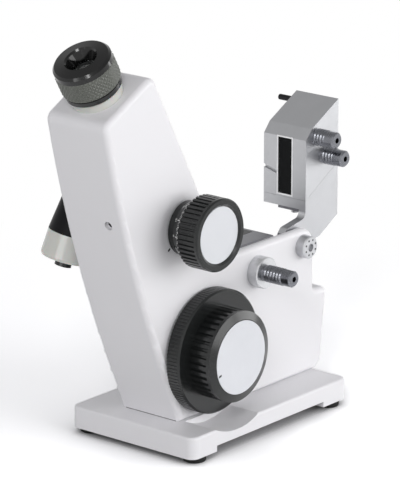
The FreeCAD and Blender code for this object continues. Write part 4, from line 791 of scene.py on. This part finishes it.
line_place = base_centre + LINE_FROM_BASE
towards_knob = Vector((knob_centre.x - line_place.x, 0, knob_centre.z - line_place.z)).normalized()
flat_bar("dispersion_index", line_place, towards_knob, FRONT.cross(towards_knob), LINE_SIZE, painted_recess_shade,
         "stand")

# %% [markdown]
# ## The rim of the slot, with a painted highlight, and the painted shade under the casting
# The frame of the sample slot is polished by lapping, and its narrow front edge is the brightest line on
# the prism box; that brightness is painted into the rim's pale colour as a painted highlight. Where the
# leaning casting meets its plate, the joint lies in shade, and a thin dark strip paints that shade; it is
# what draws the line between two white pieces. A mask in the material could draw both, but a narrow strip
# of its own has a crisp edge from every side.

# %% Rim
RIM_WIDTH = 0.75 * MM
RIM_PROUD = 0.08 * MM
# The rim's near-white colour paints the highlight that the lapped edge catches.
rim_metal_painted_highlight = Finish("polished_rim_painted_highlight", Metallic=0.5, Roughness=0.3, Base_Color=(0.93, 0.93, 0.94)).material


def slot_rim(low, high):
    """A rim round a frame that looks along -X, standing a little proud of its face."""
    outer = [(low.y, low.z), (high.y, low.z), (high.y, high.z), (low.y, high.z)]
    inner = [(low.y + RIM_WIDTH, low.z + RIM_WIDTH), (high.y - RIM_WIDTH, low.z + RIM_WIDTH),
             (high.y - RIM_WIDTH, high.z - RIM_WIDTH), (low.y + RIM_WIDTH, high.z - RIM_WIDTH)]
    points = [(x, y, z) for x in (low.x - RIM_PROUD, low.x + RIM_PROUD) for y, z in (*outer, *inner)]
    faces = []
    for k in range(4):
        m = (k + 1) % 4
        faces += [(k, 4 + k, 4 + m, m), (8 + k, 8 + m, 12 + m, 12 + k), (k, m, 8 + m, 8 + k),
                  (4 + k, 12 + k, 12 + m, 4 + m)]
    return new_piece("slot_rim", points, faces, rim_metal_painted_highlight, "upper_prism")


slot_rim(*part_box("slot_frame"))

# %% Painted shade in the joint
JOINT_SHADE_INSET = 1.5 * MM
JOINT_SHADE_LIFT = 0.2 * MM
JOINT_SHADE_WIDTH, JOINT_SHADE_HEIGHT = 0.5 * MM, 0.35 * MM
FOOT_SLACK = 0.3 * MM
# A dark grey strip painted for the shade in the joint where the casting meets its plate.
painted_joint_shade = Finish("painted_joint_shade_grey", Roughness=0.6, Base_Color=(0.14, 0.14, 0.145)).material
foot = [p for p in points_of("housing") if abs(p.z - plate_high.z) < FOOT_SLACK]
foot_near = min(p.y for p in foot) + JOINT_SHADE_INSET
foot_far = max(p.y for p in foot) - JOINT_SHADE_INSET
joint_shade_place = Vector((min(p.x for p in foot), (foot_near + foot_far) / 2, plate_high.z + JOINT_SHADE_LIFT))
flat_bar("foot_joint_shade", joint_shade_place, Vector((0, 1, 0)), Vector((0, 0, 1)),
         (foot_far - foot_near, JOINT_SHADE_WIDTH, JOINT_SHADE_HEIGHT), painted_joint_shade, "stand")

# %% [markdown]
# ## Floor
# The picture is a product shot on pale paper. For the light that falls on the object the floor is a plain
# grey. Rays that the camera, a mirror or glass sends see it brighter: white paper with a painted shadow,
# darker only close to the object, where ambient occlusion finds something near, and that turns into an even
# white glow further out. This paints the soft shadow under the feet and needs no extra light on the object.

# %% Floor
FLOOR_HALF = 4.0
FLOOR_GREY = (0.62, 0.62, 0.62)
PAINTED_SHADOW_NEAR = (0.16, 0.16, 0.165, 1)
PAPER_FAR = (0.98, 0.98, 0.98, 1)
SHADE_REACH = 0.05
GLOW_FROM, GLOW_SOFT = 0.30, 0.12


def sees_background(graph):
    """1 for the rays that show the background: from the camera, off a mirror or through glass."""
    camera_ray, glossy_ray, glass_ray = (graph.node("ShaderNodeLightPath", output=f"Is {kind} Ray")
                                         for kind in ("Camera", "Glossy", "Transmission"))
    return camera_ray.join("MAXIMUM", glossy_ray).join("MAXIMUM", glass_ray)


def floor_finish():
    """Grey for the light, white paper with a painted shadow near the object for the eye."""
    paper = Finish("studio_floor", Roughness=0.9, Specular_IOR_Level=0.1, Base_Color=FLOOR_GREY)
    away = paper.node("ShaderNodeVectorMath", {"operation": "LENGTH"}, {0: paper.place()}, output="Value")
    openness = paper.node("ShaderNodeAmbientOcclusion", {"samples": 8}, {"Distance": SHADE_REACH},
                          output="AO")
    # The dark colour near the object is painted shadow, mixed in by ambient occlusion.
    near = paper.node("ShaderNodeBsdfDiffuse", sockets={"Color": PAINTED_SHADOW_NEAR})
    far = paper.node("ShaderNodeBsdfDiffuse", sockets={"Color": PAPER_FAR})
    paper_with_painted_shadow = paper.node("ShaderNodeMixShader", sockets={0: openness, 1: near, 2: far})
    bright = paper.node("ShaderNodeAddShader", sockets={0: paper_with_painted_shadow, 1: paper_with_painted_shadow})
    glow = paper.node("ShaderNodeEmission", sockets={"Color": (1, 1, 1, 1), "Strength": 1.0})
    far_out = away.over(GLOW_FROM, GLOW_SOFT)
    seen = paper.node("ShaderNodeMixShader", sockets={0: far_out, 1: bright, 2: glow})
    plain = Wire(paper, paper.shader.outputs[0])
    both = paper.node("ShaderNodeMixShader", sockets={0: sees_background(paper), 1: plain, 2: seen})
    paper.show("Material Output", both)
    return paper.material


floor_corners = [(x * FLOOR_HALF, y * FLOOR_HALF, 0) for x, y in ((-1, -1), (1, -1), (1, 1), (-1, 1))]
floor_mesh = bpy.data.meshes.new("floor")
floor_mesh.from_pydata(floor_corners, [], [(0, 1, 2, 3)])
floor_mesh.materials.append(floor_finish())
floor = bpy.data.objects.new("floor", floor_mesh)
bpy.context.scene.collection.objects.link(floor)
floor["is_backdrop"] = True
print("floor", 2 * FLOOR_HALF, "m wide")

# %% [markdown]
# ## World
# A studio's walls and ceiling send a weak even light from all sides. The world gives that light, and shows
# white to the same rays as the floor does. Overhead it is greyer, as a ceiling is, so that glossy tops and
# the upper sides of knobs reflect something darker than the walls. A picture of a studio could do this too,
# but a soft step by height is all that the object's plain shapes can show.

# %% World
FILL_LIGHT = 0.33
FILL_COLOUR = (0.97, 0.97, 1.0)
WALL_LIGHT = 1.0
CEILING_LIGHT = 0.5
CEILING_HEIGHT, CEILING_SOFT = 0.575, 0.225


def studio_world():
    """An even fill light, with white walls and a greyer ceiling for the eye."""
    world = bpy.data.worlds.new("studio")
    world.use_nodes = True
    sky = Graph(world.node_tree)

    def background(colour, strength):
        return sky.node("ShaderNodeBackground", sockets={"Color": (*colour, 1), "Strength": strength})

    direction = sky.node("ShaderNodeTexCoord", output="Generated")
    height = sky.node("ShaderNodeSeparateXYZ", sockets={0: direction}, output="Z")
    room = sky.node("ShaderNodeMixShader", sockets={0: height.over(CEILING_HEIGHT, CEILING_SOFT),
                                                    1: background((1, 1, 1), WALL_LIGHT),
                                                    2: background((1, 1, 1), CEILING_LIGHT)})
    both = sky.node("ShaderNodeMixShader", sockets={0: sees_background(sky),
                                                    1: background(FILL_COLOUR, FILL_LIGHT), 2: room})
    sky.show("World Output", both)
    return world


bpy.context.scene.world = studio_world()
print("world light", FILL_LIGHT)

# %% [markdown]
# ## Lamps
# Four square lamps light the object, all aimed at its middle. The largest stands before the knobs, on the
# right of the camera. A second one, further round to the right, lights the edges that look that way. A
# small one, close to the camera's own direction and higher, gives the eyepiece its glints, and a low one on
# the left lights the leaning front of the casting. They are area lamps, because the size of a lamp sets how
# soft its shadow and its glint are.

# %% Lamps
AIM_HEIGHT = 0.11
LAMP_AIM = base_centre + Vector((0, 0, AIM_HEIGHT))
# Each lamp has its azimuth (0 is the side of the knobs) and elevation in degrees, its distance and size in
# metres, and its power in watts.
LAMPS = {
    "right_lamp": (14, 7, 1.5, 1.3, 17),
    "side_lamp": (56, -2, 1.5, 0.8, 7),
    "eye_lamp": (-60, 31, 1.6, 0.34, 4.6),
    "front_lamp": (-82, -1, 1.6, 0.9, 8),
}


def soft_lamp(name, azimuth, elevation, distance, size, power):
    """A square area lamp that looks at the object."""
    a, e = math.radians(azimuth), math.radians(elevation)
    back = Vector((math.sin(a) * math.cos(e), -math.cos(a) * math.cos(e), math.sin(e)))
    data = bpy.data.lights.new(name, "AREA")
    data.shape = "SQUARE"
    data.size = size
    data.energy = power
    lamp = bpy.data.objects.new(name, data)
    lamp.location = LAMP_AIM + back * distance
    lamp.rotation_euler = (-back).to_track_quat("-Z", "Y").to_euler()
    bpy.context.scene.collection.objects.link(lamp)
    print(name, "power", power)


for name, values in LAMPS.items():
    soft_lamp(name, *values)

# %% [markdown]
# ## Camera
# The camera stands about two metres away with a long lens, as for a catalogue: near lines stay nearly
# parallel and no piece looks swollen. Its place and direction were fitted to the corners of the base plate
# and to the outlines of the knobs, and are given from the middle of the base.

# %% Camera
CAMERA_FROM_BASE = Vector((-1.4552, -1.2049, 0.6701))
CAMERA_BACK = Vector((-0.7354, -0.6130, 0.2889))
LENS_MM = 252
SENSOR_MM = 36
lens_camera = bpy.data.cameras.new("camera")
lens_camera.lens = LENS_MM
lens_camera.sensor_width = SENSOR_MM
camera = bpy.data.objects.new("camera", lens_camera)
camera.location = base_centre + CAMERA_FROM_BASE
camera.rotation_euler = (-CAMERA_BACK).to_track_quat("-Z", "Y").to_euler()
bpy.context.scene.collection.objects.link(camera)
bpy.context.scene.camera = camera
bpy.context.scene.view_settings.view_transform = "Standard"
print("camera", round(camera.location.length, 3), "m away")

# %% [markdown]
# ## Sizes and the end
# The box of the solids was measured at the start and the box of everything shown is measured here, and both
# are printed, so that anything added beyond the solids shows.

# %% Sizes and finish
low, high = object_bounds()
print("shown box in mm:", in_mm(high - low))
